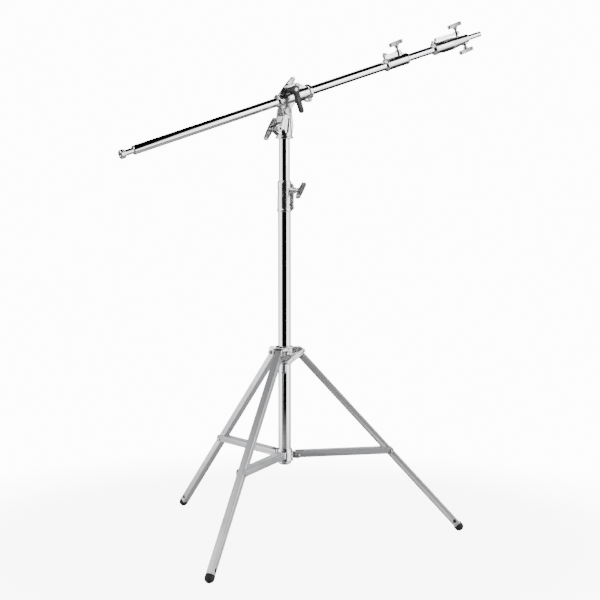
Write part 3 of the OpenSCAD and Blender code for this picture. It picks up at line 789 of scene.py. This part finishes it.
def brace_channel(leg):
    """Pressed channel with rounded ears, its web cut back at both ends."""
    local = BRACE_FRAMES[leg]
    node_low, node_high = extent(f"brace_{leg}", local)
    half = node_high.y
    ear_r = (BRACE_HIGH - BRACE_LOW) / 2
    ear_z = (BRACE_HIGH + BRACE_LOW) / 2
    length = node_high.x - ear_r
    solid = Solid(local)
    solid.prism(channel_outline(half, BRACE_LOW, BRACE_HIGH, BRACE_WALL, 2.6),
                node_low.x, node_high.x, "X")
    made = solid.object(f"pressed_brace_{leg}")
    silhouette = Solid(local)
    silhouette.plate([(0, ear_z, ear_r), (length, ear_z, ear_r)], -half - 5, half + 5, corner=24)
    cut(made, silhouette, "INTERSECT")
    inner = half - BRACE_WALL
    notch = Solid(local)
    depths = (ear_z + EAR_CUT_H, BRACE_HIGH + 5)
    corner_x, corner_y = WEB_START - WEB_CORNER_R, inner - WEB_CORNER_R
    notch.plate([(-30, 0, inner), (corner_x, corner_y, WEB_CORNER_R),
                 (corner_x, -corner_y, WEB_CORNER_R)], *depths, "Z", 24)
    notch.plate([(length + 30, 0, inner), (length - WEB_STOP + inner, 0, inner)],
                *depths, "Z", 24)
    for place in (0, length):
        notch.rod_y(place, 0, -half - 3, half + 3, PIN_R + 0.06, segments=32)
    cut(made, notch)
    deburr(made, 0.3)
    material = satin_steel(f"brace_plate_{leg}", local, tint=(0.66, 0.67, 0.69, 1), gloss=0.48)
    finish_piece(smooth(made, 30), f"brace_{leg}", "brace_steel", material, f"brace_{leg}")


def cross_pins(name, body, places, *nodes):
    """Round pins across the given places, each (frame, point, half width), with domed heads."""
    points, aims = [], []
    shanks = Solid(COLUMN)
    for local, (x, z), half in places:
        shanks.local = local
        shanks.rod_y(x, z, -half - 0.5, half + 0.5, PIN_R - 0.02, segments=32)
        for side in (-1, 1):
            points.append(local @ (Vector((x, side * half, z)) * MM))
            aims.append(local.to_3x3() @ Vector((0, side, 0)))
    heads = HEADS.made_on(name, points, aims, radius=PIN_HEAD_R * MM, height=PIN_HEAD_H * MM)
    heads.data = joined(name, heads.data, shanks.mesh(name))
    finish_piece(smooth(heads, 40), body, "fastener_steel", ZINC, *nodes)


def build_legs():
    hub_places = []
    for leg in LEGS:
        leg_tube(leg)
        rubber_foot(leg)
        brace_channel(leg)
        half = extent(f"brace_{leg}", BRACE_FRAMES[leg])[1].y + 0.3
        cross_pins(f"rivet_{leg}", f"leg_{leg}", [(LEG_FRAMES[leg], (0, 0), half)],
                   f"leg_rivet_{leg}")
        hub_places.append((PLANES[leg], (HUB_PIVOT_R, HUB_PIVOT_Z), half))
    cross_pins("hub_pins", "column", hub_places, "hub_pins")


# ---------------------------------------------------------------- base castings


def build_hub():
    """Hub with three rounded tongues, a neck above and a bead below, and its rounded cover."""
    low, high = extent("brace_hub", COLUMN)
    solid = Solid(COLUMN)
    solid.rod_z(low.z, HUB_TOP, 22.4, edge=2.5)
    solid.rod_z(HUB_TOP - 3, high.z, 21.0, edge=1.5)
    solid.rod_z(low.z + 1, low.z + 6, 23.6, edge=1.5)
    holes = Solid(COLUMN)
    holes.rod_z(low.z - 5, high.z + 5, LOWER_TUBE_R + 0.1, segments=96)
    for leg in LEGS:
        solid.local = PLANES[leg]
        holes.local = PLANES[leg]
        solid.plate([(19, 233, 9), (HUB_PIVOT_R, HUB_PIVOT_Z, 8.5), (30, 236, 6.5)], -10.2, 10.2)
        holes.rod_y(HUB_PIVOT_R, HUB_PIVOT_Z, -20, 20, PIN_R, segments=32)
    finish_piece(cast(solid, "hub_casting", holes), "column", "cast_metal", COLUMN_CAST,
                 "brace_hub")
    cap_low, cap_high = extent("column_base_cap", COLUMN)
    cover = Solid(COLUMN)
    rises = [(0, 0), (0.35, 6), (1.5, 11), (3.4, 15), (5.2, 17.2), (6.6, 18.2), (8.0, 18.4),
             (9.0, 17.6), (9.4, 15.4)]
    profile = [(cap_low.z + rise, radius) for rise, radius in rises]
    profile += [(cap_high.z, 15.3), (cap_high.z, 0)]
    cover.lathe((0, 0, 0), (0, 0, 1), profile, segments=96)
    finish_piece(smooth(cover.object("base_cover"), 50), "column", "cast_metal", COLUMN_CAST,
                 "column_base_cap")


def handle_frame(node):
    """The frame of a T-handle's joint: origin near the handle, Z outward along its screw."""
    joint = JOINTS[node + "_turn"]
    return Vector(joint["pos_m"]), Vector(joint["axis"])


def radial_frame(node):
    """Upright frame whose X points from the column towards a handle."""
    _, axis = handle_frame(node)
    return frame_along((0, 0, 0), axis, UP)


def mirrored(side, near, far):
    """The span from near to far on one side of the middle plane, side being -1 or 1."""
    return sorted((side * near, side * far))


def build_leg_collar():
    """Sliding collar: a beaded barrel, three pairs of cheeks, a handle boss and a guide tongue."""
    bottom, top, knob_z = 490.0, 536.0, 512.0
    solid = Solid(COLUMN)
    solid.rod_z(bottom, top, 23.0, edge=2.0)
    solid.rod_z(bottom - 4, bottom + 6, 21.6, edge=1.5)
    solid.rod_z(top - 6, top - 1, 24.4, edge=2.0)
    solid.rod_z(bottom + 1, bottom + 6, 24.2, edge=2.0)
    holes = Solid(COLUMN)
    holes.rod_z(bottom - 50, top + 20, LOWER_TUBE_R + 0.15, segments=96)
    bolts = Solid(COLUMN)
    x, z = LEG_PIVOT_R, LEG_PIVOT_Z
    for leg in LEGS:
        solid.local = holes.local = bolts.local = PLANES[leg]
        for side in (-1, 1):
            span = mirrored(side, CHEEK_IN, CHEEK_OUT)
            solid.plate([(10, 503, 5), (10, 528, 5), (x, z, 11.3), (x + 2, 524, 8)], *span)
        solid.block((10, -CHEEK_OUT, 528), (27.5, CHEEK_OUT, 532.6), 1.0)
        holes.rod_y(x, z, -20, 20, 4.0, segments=32)
        bolts.rod_y(x, z, CHEEK_IN, CHEEK_OUT + 8, 3.9, edge=0.8, segments=32)
        bolts.hexagon(x, z, 7.2, CHEEK_OUT, CHEEK_OUT + 5)
        bolts.rod_y(x, z, -CHEEK_OUT - 3, -CHEEK_OUT, 6.9, edge=1.2)
        bolts.rod_y(x, z, -CHEEK_OUT, -CHEEK_IN, 3.9, segments=32)
    solid.local = holes.local = radial_frame("leg_collar_knob")
    solid.rod((15, 0, knob_z), (36, 0, knob_z), 9.3, edge=1.2)
    solid.plate([(20, knob_z, 12), (30, knob_z, 8)], -6, 6)
    holes.rod((5, 0, knob_z), (50, 0, knob_z), SCREW_BORE_R, segments=32)
    solid.local = frame_along((0, 0, 0), (-0.105, -0.995, 0), UP)
    solid.block((17, -7.5, bottom - 29), (21.2, 7.5, bottom + 4), 1.4)
    solid.block((20, -5.0, bottom - 24), (22.4, 5.0, bottom - 4), 1.0)
    finish_piece(cast(solid, "leg_collar_casting", holes), "leg_collar", "cast_metal", COLUMN_CAST,
                 "leg_collar")
    finish_piece(smooth(bolts.object("leg_pivot_hardware")), "leg_collar", "fastener_steel", ZINC,
                 "leg_pivot_bolts")


def build_column_collar():
    """Column clamp: waisted barrel, split ridge with its handle boss and hinge eye."""
    low, high = extent("column_collar", COLUMN)
    bottom, top = low.z, high.z
    knob_z = bottom + 58
    solid = Solid(COLUMN)
    rises = [(0, 0), (0, 19.8), (1, 20.6), (5, 20.6), (8, 19.4), (40, 19.4), (50, 18.4),
             (58, 18.4), (66, 19.3), (78, 19.4), (82, 18.6)]
    profile = [(bottom + rise, radius) for rise, radius in rises] + [(top, 17.4), (top, 0)]
    solid.lathe((0, 0, 0), (0, 0, 1), profile, segments=96)
    holes = Solid(COLUMN)
    holes.rod_z(bottom - 5, bottom + 50, LOWER_TUBE_R + 0.1, segments=96)
    holes.rod_z(bottom - 5, top + 5, UPPER_TUBE_R + 0.35, segments=96)
    solid.local = holes.local = radial_frame("column_collar_knob")
    for side in (-1, 1):
        span = mirrored(side, 1.0, 6.4)
        solid.plate([(17, bottom + 9, 7), (19, bottom + 11, 7.5), (18, bottom + 20, 7)], *span)
        solid.plate([(20, bottom + 18, 5), (21.5, bottom + 40, 5), (19, bottom + 70, 7),
                     (10, bottom + 40, 5)], *span)
    solid.rod((15, 0, knob_z), (33, 0, knob_z), 8.8, edge=1.4)
    solid.plate([(20, knob_z, 10), (29, knob_z, 7)], -5.5, 5.5)
    holes.rod((5, 0, knob_z), (45, 0, knob_z), SCREW_BORE_R, segments=32)
    holes.rod_y(22, bottom + 19, -20, 20, SMALL_PIN_R, segments=32)
    made = cast(solid, "column_collar_casting", holes)
    finish_piece(made, "column", "cast_metal", COLUMN_CAST, "column_collar")


# ---------------------------------------------------------------- head castings


def build_head_socket():
    """Split socket on the column's top with pinch ears and the fork of the tilt bolt."""
    bottom = extent("head_socket", HEAD)[0].z
    solid = Solid(HEAD)
    solid.rod_z(bottom, 1140, 21.5, edge=1.5)
    solid.rod_z(bottom, bottom + 7, 24.2, edge=2.0)
    solid.rod_z(1128, 1146, 21.5, edge=4.0, end_radius=17)
    for side in (-1, 1):
        span = mirrored(side, FORK_IN, FORK_OUT)
        solid.plate([(0, TILT_Z, 13), (-9, 1132, 9), (9, 1132, 9)], *span)
        boss = mirrored(side, FORK_OUT - 1, FORK_OUT + 1.2)
        solid.rod_y(0, TILT_Z, boss[0], boss[1], 11.5, edge=0.6)
        ear = mirrored(side, 1.2, 14.0)
        solid.plate([(PINCH_X, PINCH_Z, 10.6), (-14, 1118, 10), (-14, 1136, 8)], *ear)
        strap = mirrored(side, 14.5, FORK_OUT + 1.4)
        solid.plate([(-5, 1164, 5.5), (-14, 1146, 4.5)], *strap)
        solid.plate([(-14, 1147, 4.5), (-17, 1130, 5.5)], *strap)
        solid.plate([(9, 1160, 2.6), (12.5, 1118, 3.2)], *strap)
    solid.block((-13, -20, 1122), (13, 20, 1143), 3.0)
    holes = Solid(HEAD)
    holes.rod_z(bottom - 5, 1127, UPPER_TUBE_R + 0.15, segments=96)
    holes.rod_y(PINCH_X, PINCH_Z, -30, 30, SCREW_BORE_R, segments=32)
    holes.rod_y(0, TILT_Z, -30, 30, TILT_BOLT_R, segments=40)
    holes.block((-50, -1, bottom - 5), (-12, 1, 1127))
    for side in (-1, 1):
        pocket = mirrored(side, FORK_OUT - 4.2, FORK_OUT + 4)
        holes.plate([(0.5, 1152, 4.2), (-3.5, 1120, 4.8)], *pocket)
    finish_piece(cast(solid, "socket_casting", holes), "head", "cast_metal", HEAD_CAST,
                 "head_socket")


def cap_bolt(name, body, local, place, head, shank, node, nut=None):
    """Bolt along Y at (x, z); head, shank and nut are each (radius, low, high)."""
    x, z = place
    head_r, near, far = head
    cap = Solid(local)
    cap.rod_y(x, z, near, far, head_r, edge=min(0.8, (far - near) / 4))
    recess = Solid(local)
    recess.hexagon(x, z, head_r * 0.5, near - 1, near + (far - near) * 0.55)
    made = cut(cap.object(name + "_cap"), recess)
    rest = Solid(local)
    rest.rod_y(x, z, shank[1], shank[2], shank[0] - 0.02, edge=0.7, segments=40)
    if nut:
        rest.hexagon(x, z, *nut)
    made.data = joined(name, made.data, rest.mesh(name))
    finish_piece(smooth(made), body, "fastener_steel", ZINC, node)


def build_head_hardware():
    cap_bolt("tilt_cap_bolt", "head", HEAD, (0, TILT_Z), (10.3, -25.6, -21.6),
             (TILT_BOLT_R, -22, 29.5), "tilt_bolt")
    cap_bolt("pinch_bolt", "head", HEAD, (PINCH_X, PINCH_Z), (7.9, -20, -14.4), (SCREW_R, -15, 33),
             "head_pinch_bolt")
    nut = Solid(HEAD)
    nut.hexagon(0, TILT_Z, 9.6, 22.0, 28.0, turn=0.3)
    nut.rod_y(0, TILT_Z, 20.6, 22.0, 10.6, edge=0.5)
    finish_piece(smooth(nut.object("tilt_nut"), 30), "head", "fastener_steel", ZINC, "tilt_nut")


def build_boom_clamp():
    """Split boom clamp: barrel with end beads, hooded ears for two bolts, tongue and hinge eye."""
    low, high = extent("boom_clamp", BOOM)
    back, front = low.x, high.x
    tilt = BOOM.inverted() @ TILT / MM
    solid = Solid(BOOM)
    solid.rod_x(back, front, 18.6, edge=1.5)
    solid.rod_x(back, back + 6, 19.8, edge=1.8)
    solid.rod_x(front - 10, front, 20.8, edge=2.2)
    solid.rod_x(26, 60, 19.6, edge=3.0)
    for side in (-1, 1):
        ear = mirrored(side, 1.3, 12.0)
        solid.plate([(LEVER_X, LEVER_Z, 9), (CLAMP_BOLT_X, CLAMP_BOLT_Z, 9), (back + 12, 6, 9),
                     (front - 16, 6, 9)], *ear)
        web = mirrored(side, 9.0, 13.4)
        solid.plate([(tilt.x, tilt.z, 11.5), (tilt.x - 3, -13, 6), (tilt.x + 27, -13, 6)], *web)
    solid.plate([(tilt.x, tilt.z, 12.4), (tilt.x, -14, 8), (tilt.x + 17, -15, 6)], -13.6, 13.6)
    eye_x = front - 12
    solid.plate([(eye_x, -21, 7), (eye_x - 14, -13, 5), (eye_x + 4, -12, 6)], -10, 10)
    holes = Solid(BOOM)
    holes.rod_x(back - 5, front + 5, BOOM_R + 1.08, segments=96)
    holes.block((back - 5, -1, 6), (front + 5, 1, 60))
    holes.rod_y(LEVER_X, LEVER_Z, -30, 30, SCREW_BORE_R, segments=32)
    holes.rod_y(CLAMP_BOLT_X, CLAMP_BOLT_Z, -30, 30, SCREW_BORE_R, segments=32)
    holes.rod_y(tilt.x, tilt.z, -30, 30, TILT_BOLT_R + 0.08, segments=40)
    holes.rod_y(eye_x, -22, -30, 30, SMALL_PIN_R, segments=32)
    finish_piece(cast(solid, "boom_clamp_casting", holes), "boom_clamp", "cast_metal", HEAD_CAST,
                 "boom_clamp")
    cap_bolt("hinge_cap_bolt", "boom_clamp", BOOM, (eye_x, -22), (4.5, -14, -10),
             (SMALL_PIN_R, -11, 13), "clamp_hinge_bolt", nut=(4.6, 10.2, 12.6))
    cap_bolt("clamp_front_bolt", "boom_clamp", BOOM, (CLAMP_BOLT_X, CLAMP_BOLT_Z),
             (6.9, -17, -12.2), (SCREW_R, -13, 45), "clamp_knob_bolt")


def build_lever():
    """Ratchet lever: ribbed hub with a press button, and an arm that swells towards its end."""
    solid = Solid(BOOM)
    x, z = LEVER_X, LEVER_Z
    solid.rod_y(x, z, -50, -18.2, 8.6, edge=0.8)
    solid.rod_y(x, z, -53.4, -39, 11.2, edge=2.0)
    solid.plate([(x, z, 8.5), (x + 0.5, z - 30, 5.4), (x + 1.0, z - 59, 6.8)], -52, -44.5)
    solid.plate([(x, z - 8, 5.5), (x + 0.5, z - 30, 3.2), (x + 1.0, z - 58, 4.6)], -53, -44)
    made = cast(solid, "lever_skin", voxel=0.5, softness=4)
    rim = []
    aims = []
    count = 22
    for step in range(count):
        angle = 2 * math.pi * step / count
        spoke = Vector((math.cos(angle), 0, math.sin(angle)))
        rim.append(BOOM @ ((Vector((x, -35, z)) + spoke * 8.5) * MM))
        aims.append(BOOM.to_3x3() @ Vector((0, 1, 0)))
    ribs = RIBS.made_on("lever_ribs", rim, aims, width=1.5 * MM, length=9 * MM)
    made.data = joined("lever", made.data, ribs.data)
    bpy.data.objects.remove(ribs)
    finish_piece(smooth(made), "clamp_lever", "lever_plastic", LEVER_PLASTIC, "clamp_lever")
    button = Solid(BOOM)
    button.rod_y(x, z, -54, -52.6, 4.6, edge=0.5)
    button.rod_y(x, z, -51, 17, SCREW_R - 0.02, edge=0.6, segments=40)
    button.hexagon(x, z, 7.0, 12.6, 16.6)
    finish_piece(smooth(button.object("lever_bolt"), 30), "clamp_lever", "fastener_steel", ZINC,
                 "clamp_lever_bolt")


# ---------------------------------------------------------------- boom castings


def build_boom_collar():
    """Boom clamp collar: long barrel, sloping ridge with hinge hook and the handle's boss."""
    low, high = extent("boom_collar", BOOM)
    back, front = low.x, high.x
    knob_x = back + 52
    solid = Solid(BOOM)
    solid.rod_x(back, front, 16.2, edge=1.2)
    solid.rod_x(back, back + 7, 17.8, edge=1.6)
    solid.rod_x(front - 6, front, 17.0, edge=1.6)
    for side in (-1, 1):
        span = mirrored(side, 1.0, 6.0)
        solid.plate([(back + 7, 29.5, 5.5), (back + 6, 18, 4), (back + 14, 20, 5)], *span)
        solid.plate([(back + 10, 14, 6), (back + 14, 22, 5), (knob_x, 22, 6), (front - 9, 13, 4)],
                    *span)
    solid.rod((knob_x, 0, 8), (knob_x, 0, 30), 8.8, edge=1.4)
    holes = Solid(BOOM)
    holes.rod_x(back - 5, back + 45, BOOM_R + 0.08, segments=96)
    holes.rod_x(back - 5, front + 5, EXTENSION_R + 0.3, segments=96)
    holes.rod((knob_x, 0, 5), (knob_x, 0, 60), SCREW_BORE_R, segments=32)
    holes.rod_y(back + 6, 30, -10, 10, SMALL_PIN_R, segments=32)
    finish_piece(cast(solid, "boom_collar_casting", holes, voxel=0.8), "boom", "cast_metal",
                 BOOM_CAST, "boom_collar")


def build_tip():
    """Tip casting that narrows to the spigot, and the bar that its upper handle draws down."""
    low, high = extent("tip_fitting", BOOM)
    back, front = low.x, high.x
    lower_x = back + 111
    solid = Solid(BOOM)
    solid.rod_x(back, back + 66, 16.7, edge=1.2)
    solid.rod_x(back, back + 7, 18.2, edge=1.6)
    solid.rod_x(back + 60, front, 16.7, end_radius=11.3, edge=1.2)
    solid.rod_x(front - 8, front, 12.6, edge=1.4)
    solid.plate([(back + 5, 19.5, 4.5), (back + 5, 12, 4), (back + 11, 12, 4)], -5.5, 5.5)
    solid.plate([(back + 30, -14, 4), (back + 62, -15, 3.4), (lower_x, -8, 5)], -4, 4)
    solid.rod((lower_x, 0, -17), (lower_x, 0, -2), 8.4, edge=1.4)
    holes = Solid(BOOM)
    holes.rod_x(back - 5, back + 62, EXTENSION_R + 0.08, segments=96)
    holes.rod_x(back + 55, front + 5, 7.1, segments=64)
    holes.rod((lower_x, 0, -40), (lower_x, 0, 0), SCREW_BORE_R, segments=32)
    holes.rod((back + 91, 0, 0), (back + 91, 0, 40), SCREW_BORE_R, segments=32)
    holes.rod_y(back + 7, 19, -10, 10, SMALL_PIN_R, segments=32)
    finish_piece(cast(solid, "tip_casting", holes, voxel=0.8), "extension", "cast_metal", BOOM_CAST,
                 "tip_fitting")
    arm = Solid(BOOM)
    knob_x = back + 91
    arm.plate([(back + 18, 23.6, 5.4), (knob_x, 22.4, 4.0)], -5.8, 5.8)
    arm.plate([(back + 30, 24.6, 2.8), (knob_x - 12, 23.8, 2.8)], -3.2, 3.2)
    arm.rod((knob_x, 0, 17.8), (knob_x, 0, 28), 9.2, edge=1.6)
    hole = Solid(BOOM)
    hole.rod((knob_x, 0, 5), (knob_x, 0, 60), SCREW_BORE_R, segments=32)
    made = cast(arm, "tip_arm_casting", hole, voxel=0.6, softness=4)
    finish_piece(made, "extension", "cast_metal", BOOM_CAST, "tip_clamp_arm")


def build_spigots():
    """Grooved spigot at the tip, and the spool-shaped stud at the boom's rear."""
    low, high = extent("tip_spigot", BOOM)
    back, tip = low.x, high.x
    shoulder = extent("tip_fitting", BOOM)[1].x + 0.3
    groove = tip - 17
    solid = Solid(BOOM)
    profile = [(back, 0), (back, 7.0), (shoulder, 7.0), (shoulder, SPIGOT_R - 0.6),
               (shoulder + 0.6, SPIGOT_R), (groove, SPIGOT_R), (groove + 0.8, SPIGOT_R - 1.6),
               (groove + 6.2, SPIGOT_R - 1.6), (groove + 7, SPIGOT_R), (tip - 1.6, SPIGOT_R),
               (tip - 0.4, SPIGOT_R - 1.0), (tip, SPIGOT_R - 2.0), (tip, 0)]
    solid.lathe((0, 0, 0), (1, 0, 0), profile, segments=96)
    finish_piece(smooth(solid.object("spigot"), 25), "tip_spigot", "chrome_stud", BOOM_CHROME,
                 "tip_spigot")
    low, high = extent("boom_rear_stud", BOOM)
    rear, inside = low.x, high.x
    stud = Solid(BOOM)
    bore_r, pitch, turns = STUD_BORE_R, 1.6, 12
    profile = [(inside, 0), (inside, 11.3), (rear + 39, 11.3), (rear + 38.6, SPIGOT_R),
               (rear + 14, SPIGOT_R), (rear + 13, SPIGOT_R + 1.0), (rear + 12.6, 11.6),
               (rear + 11.6, BOOM_R), (rear + 8.2, BOOM_R), (rear + 7.6, 11.7), (rear + 5.4, 11.7),
               (rear + 4.8, BOOM_R), (rear + 1.2, BOOM_R), (rear, 11.4), (rear, 5.2),
               (rear + 1.2, bore_r + 0.3)]
    for turn in range(turns):
        start = rear + 1.4 + turn * pitch
        profile += [(start, bore_r + 0.45), (start + pitch / 2, bore_r)]
    profile += [(rear + STUD_BORE_L, bore_r), (rear + STUD_BORE_L, 0)]
    stud.lathe((0, 0, 0), (1, 0, 0), profile, segments=96)
    finish_piece(smooth(stud.object("rear_stud"), 25), "boom", "chrome_stud", BOOM_CHROME,
                 "boom_rear_stud")


# ---------------------------------------------------------------- handles


def handle_mesh():
    """T-handle with its bar along X and its screw along Z, the bar's middle at the origin."""
    solid = Solid(Matrix.Identity(4))
    end = HANDLE_L / 2 - 6.3
    solid.rod_z(-13, 3.5, 6.4, edge=1.0, end_radius=7.6)
    solid.plate([(-12, 0, 7.0), (12, 0, 7.0)], -5.6, 4.8, "Z")
    for side in (-1, 1):
        solid.plate([(side * 10, 0, 7.2), (side * end, 0, 5.6)], -5.6, 4.8, "Z")
        solid.rod((side * end, 0, -6.0), (side * end, 0, 5.0), 6.3, edge=1.2)
    solid.rod_z(2, 5.0, 5.2, edge=1.0)
    made = solid.object("handle_pattern")
    skin = made.modifiers.new("skin", "REMESH")
    skin.mode = "VOXEL"
    skin.voxel_size = 0.5 * MM
    relax = made.modifiers.new("relax", "SMOOTH")
    relax.factor = 0.5
    relax.iterations = 5
    evaluated(made)
    pockets = Solid(Matrix.Identity(4))
    for side in (-1, 1):
        for face in (-1, 1):
            span = sorted((face * 3.3 - 0.4, face * 9))
            pockets.plate([(side * 13.0, 0, 4.2), (side * (end - 1.5), 0, 2.4)], *span, "Z")
    cut(made, pockets)
    thin = made.modifiers.new("thin", "DECIMATE")
    thin.ratio = 0.45
    evaluated(made)
    data = made.data
    bpy.data.objects.remove(made)
    return data


HANDLES = {
    "column_collar_knob": ("column_collar_knob", "column_collar_screw"),
    "leg_collar_knob": ("leg_collar_knob", "leg_collar_screw"),
    "head_pinch_knob": ("head_pinch_knob", None),
    "clamp_knob": ("clamp_knob", None),
    "boom_collar_knob": ("boom_collar_knob", "boom_collar_screw"),
    "tip_knob": ("tip_knob", "tip_screw"),
    "spigot_knob": ("spigot_knob", "spigot_screw"),
}


def bar_frame(node):
    """The CAD handle's own frame: Z outward along its screw, X along its bar."""
    origin, axis = handle_frame(node)
    mesh = frame["nodes"][node].data

    def across(point):
        return (point - origin) - axis * (point - origin).dot(axis)

    along = across(max((vertex.co for vertex in mesh.vertices), key=lambda co: across(co).length))
    heights = [(vertex.co - origin).dot(axis) for vertex in mesh.vertices]
    middle = origin + axis * (max(heights) - HANDLE_T / 2 * MM)
    cross = axis.cross(along).normalized()
    along = cross.cross(axis).normalized()
    turn = Matrix((along, cross, axis)).transposed().to_4x4()
    return Matrix.Translation(middle) @ turn


def screw_thread(name, local, tip, top):
    """A threaded screw along Z with a blunt tip; the part that the handle hides is plain."""
    profile = [(tip, 0), (tip, SCREW_R - 1.0), (tip + 1, SCREW_R - 0.3)]
    turns = int((top - PLAIN_SHANK_L - tip) / SCREW_PITCH) - 1
    for turn in range(turns):
        start = tip + 1.2 + turn * SCREW_PITCH
        crest, root = start + SCREW_PITCH * 0.25, start + SCREW_PITCH * 0.8
        profile += [(crest, SCREW_R - 0.05), (root, SCREW_R - 0.6)]
    profile += [(top, SCREW_R - 0.05), (top, 0)]
    thread = Solid(local)
    thread.lathe((0, 0, 0), (0, 0, 1), profile, segments=32)
    return smooth(thread.object(name), 60)


def build_handles():
    pattern = handle_mesh()
    for node, (body, screw) in HANDLES.items():
        place = bar_frame(node)
        data = pattern.copy()
        data.transform(place)
        made = added(node + "_handle", data)
        finish_piece(smooth(made, 40), body, "handle_metal", HANDLE_CAST, node)
        if screw:
            low, high = extent(screw, place)
            made = screw_thread(node + "_screw", place, low.z, high.z)
            finish_piece(made, body, "fastener_steel", ZINC, screw)


# ---------------------------------------------------------------- CAD nodes that stay


def coat_cad_nodes():
    """Materials of the CAD pieces whose shape is already right."""
    coats = {
        "column_guide_bush": GUIDE_PLASTIC, "upper_column_guide": GUIDE_PLASTIC,
        "boom_clamp_liner": GUIDE_PLASTIC, "boom_collar_bush": GUIDE_PLASTIC,
        "extension_guide": GUIDE_PLASTIC, "column_collar_shoe": BRASS,
        "column_collar_pin": BLACK_STEEL, "boom_collar_pin": BLACK_STEEL,
        "tip_clamp_pin": BLACK_STEEL,
    }
    for node, material in coats.items():
        slots = frame["nodes"][node].material_slots
        for slot in slots:
            slot.material = material


# ---------------------------------------------------------------- studio

CAMERA_PLACE = (0.0424, -4.1108, 1.0351)
CAMERA_PITCH = 5.195
FOCAL_OVER_WIDTH = 2.51291
SENSOR_WIDTH = 36.0
FLOOR_R = 1.3
FLOOR_ALPHA = 0.38
CARD_LIGHT = 3.2
ROOM_LIGHT = 0.8
DARK_LIGHT = 0.004
BACKDROP_LIGHT = 13.0


def build_camera():
    data = bpy.data.cameras.new("camera")
    data.sensor_width = SENSOR_WIDTH
    data.lens = SENSOR_WIDTH * FOCAL_OVER_WIDTH
    data.clip_end = 100
    made = bpy.data.objects.new("camera", data)
    made.location = CAMERA_PLACE
    made.rotation_euler = (math.radians(90 - CAMERA_PITCH), 0, 0)
    bpy.context.scene.collection.objects.link(made)
    bpy.context.scene.camera = made


def build_floor():
    """A round pale floor whose rim fades into the white room."""
    data = bpy.data.meshes.new("floor")
    rim = []
    steps = 96
    for step in range(steps):
        angle = 2 * math.pi * step / steps
        rim.append((FLOOR_R * math.cos(angle), FLOOR_R * math.sin(angle), 0))
    data.from_pydata(rim, [], [tuple(range(steps))])
    shader = new_shader("floor_paint")
    place = shader.local(COLUMN, (1, 1, 1))
    distance = shader.node("ShaderNodeVectorMath", {"operation": "LENGTH"}, {0: place},
                           output="Value")
    grain = shader.noise(place, 30, 2)
    colour = shader.mix(grain, (0.90, 0.90, 0.90, 1), (0.88, 0.88, 0.88, 1))
    fade = 1 - shader.ramp(distance, FLOOR_R * 0.62, FLOOR_R)
    data.materials.append(shader.surface(colour, 0.7, 0.0, Alpha=fade * FLOOR_ALPHA))
    made = added("floor", data)


def build_world():
    """White room with a dark gap behind the camera and a dark ceiling, for the chrome to show."""
    world = bpy.data.worlds.new("studio")
    bpy.context.scene.world = world
    shader = Shader(world)
    direction = shader.node("ShaderNodeTexCoord", {}, {}, output="Generated")
    x = shader.node("ShaderNodeSeparateXYZ", {}, {"Vector": direction}, output="X")
    y = shader.node("ShaderNodeSeparateXYZ", {}, {"Vector": direction}, output="Y")
    z = shader.node("ShaderNodeSeparateXYZ", {}, {"Vector": direction}, output="Z")
    azimuth = shader.node("ShaderNodeMath", {"operation": "ARCTAN2"}, {0: x, 1: y * -1.0})
    off_front = shader.node("ShaderNodeMath", {"operation": "ABSOLUTE"}, {0: azimuth + 0.06})
    front_gap = 1 - shader.ramp(off_front, 0.74, 0.82)
    side_gap = shader.ramp(off_front, 1.82, 1.92) * (1 - shader.ramp(off_front, 2.96, 3.10))
    ceiling = shader.ramp(z, 0.60, 0.68)
    back_top = shader.ramp(y, 0.0, 0.3) * shader.ramp(z, 0.16, 0.34)
    belt = shader.ramp(z, -0.72, -0.66) * (1 - shader.ramp(z, -0.50, -0.44))
    open_room = (1 - front_gap) * (1 - side_gap * 0.93) * (1 - ceiling)
    open_room = open_room * (1 - back_top * 0.95) * (1 - belt * 0.9)
    card = shader.ramp(z, -0.45, -0.30) * (1 - shader.ramp(z, 0.55, 0.65))
    glow = open_room * (card * (CARD_LIGHT - ROOM_LIGHT) + ROOM_LIGHT) + DARK_LIGHT
    is_camera = shader.node("ShaderNodeLightPath", {}, {}, output="Is Camera Ray")
    reflected = shader.node("ShaderNodeBackground", {}, {
        "Color": (1, 1, 1, 1), "Strength": glow})
    seen = shader.node("ShaderNodeBackground", {}, {
        "Color": (1, 1, 1, 1), "Strength": BACKDROP_LIGHT})
    chosen = shader.node("ShaderNodeMixShader", {}, {0: is_camera, 1: reflected, 2: seen})
    shader.node("ShaderNodeOutputWorld", {}, {"Surface": chosen})


def build_lights():
    for name, place, size, power in (
        ("key", (-2.6, -2.4, 3.2), 2.2, 50), ("fill", (3.0, -1.6, 2.4), 2.0, 30),
        ("back", (0.5, 3.2, 3.0), 2.4, 40),
    ):
        data = bpy.data.lights.new(name, "AREA")
        data.size = size
        data.energy = power
        made = bpy.data.objects.new(name, data)
        made.location = place
        aim = Vector((0, 0, 0.7)) - Vector(place)
        made.rotation_euler = aim.to_track_quat("-Z", "Y").to_euler()
        bpy.context.scene.collection.objects.link(made)


build_camera()
build_floor()
build_world()
build_lights()
build_tubes()
build_legs()
build_hub()
build_leg_collar()
build_column_collar()
build_head_socket()
build_head_hardware()
build_boom_clamp()
build_lever()
build_boom_collar()
build_tip()
build_spigots()
build_handles()
coat_cad_nodes()
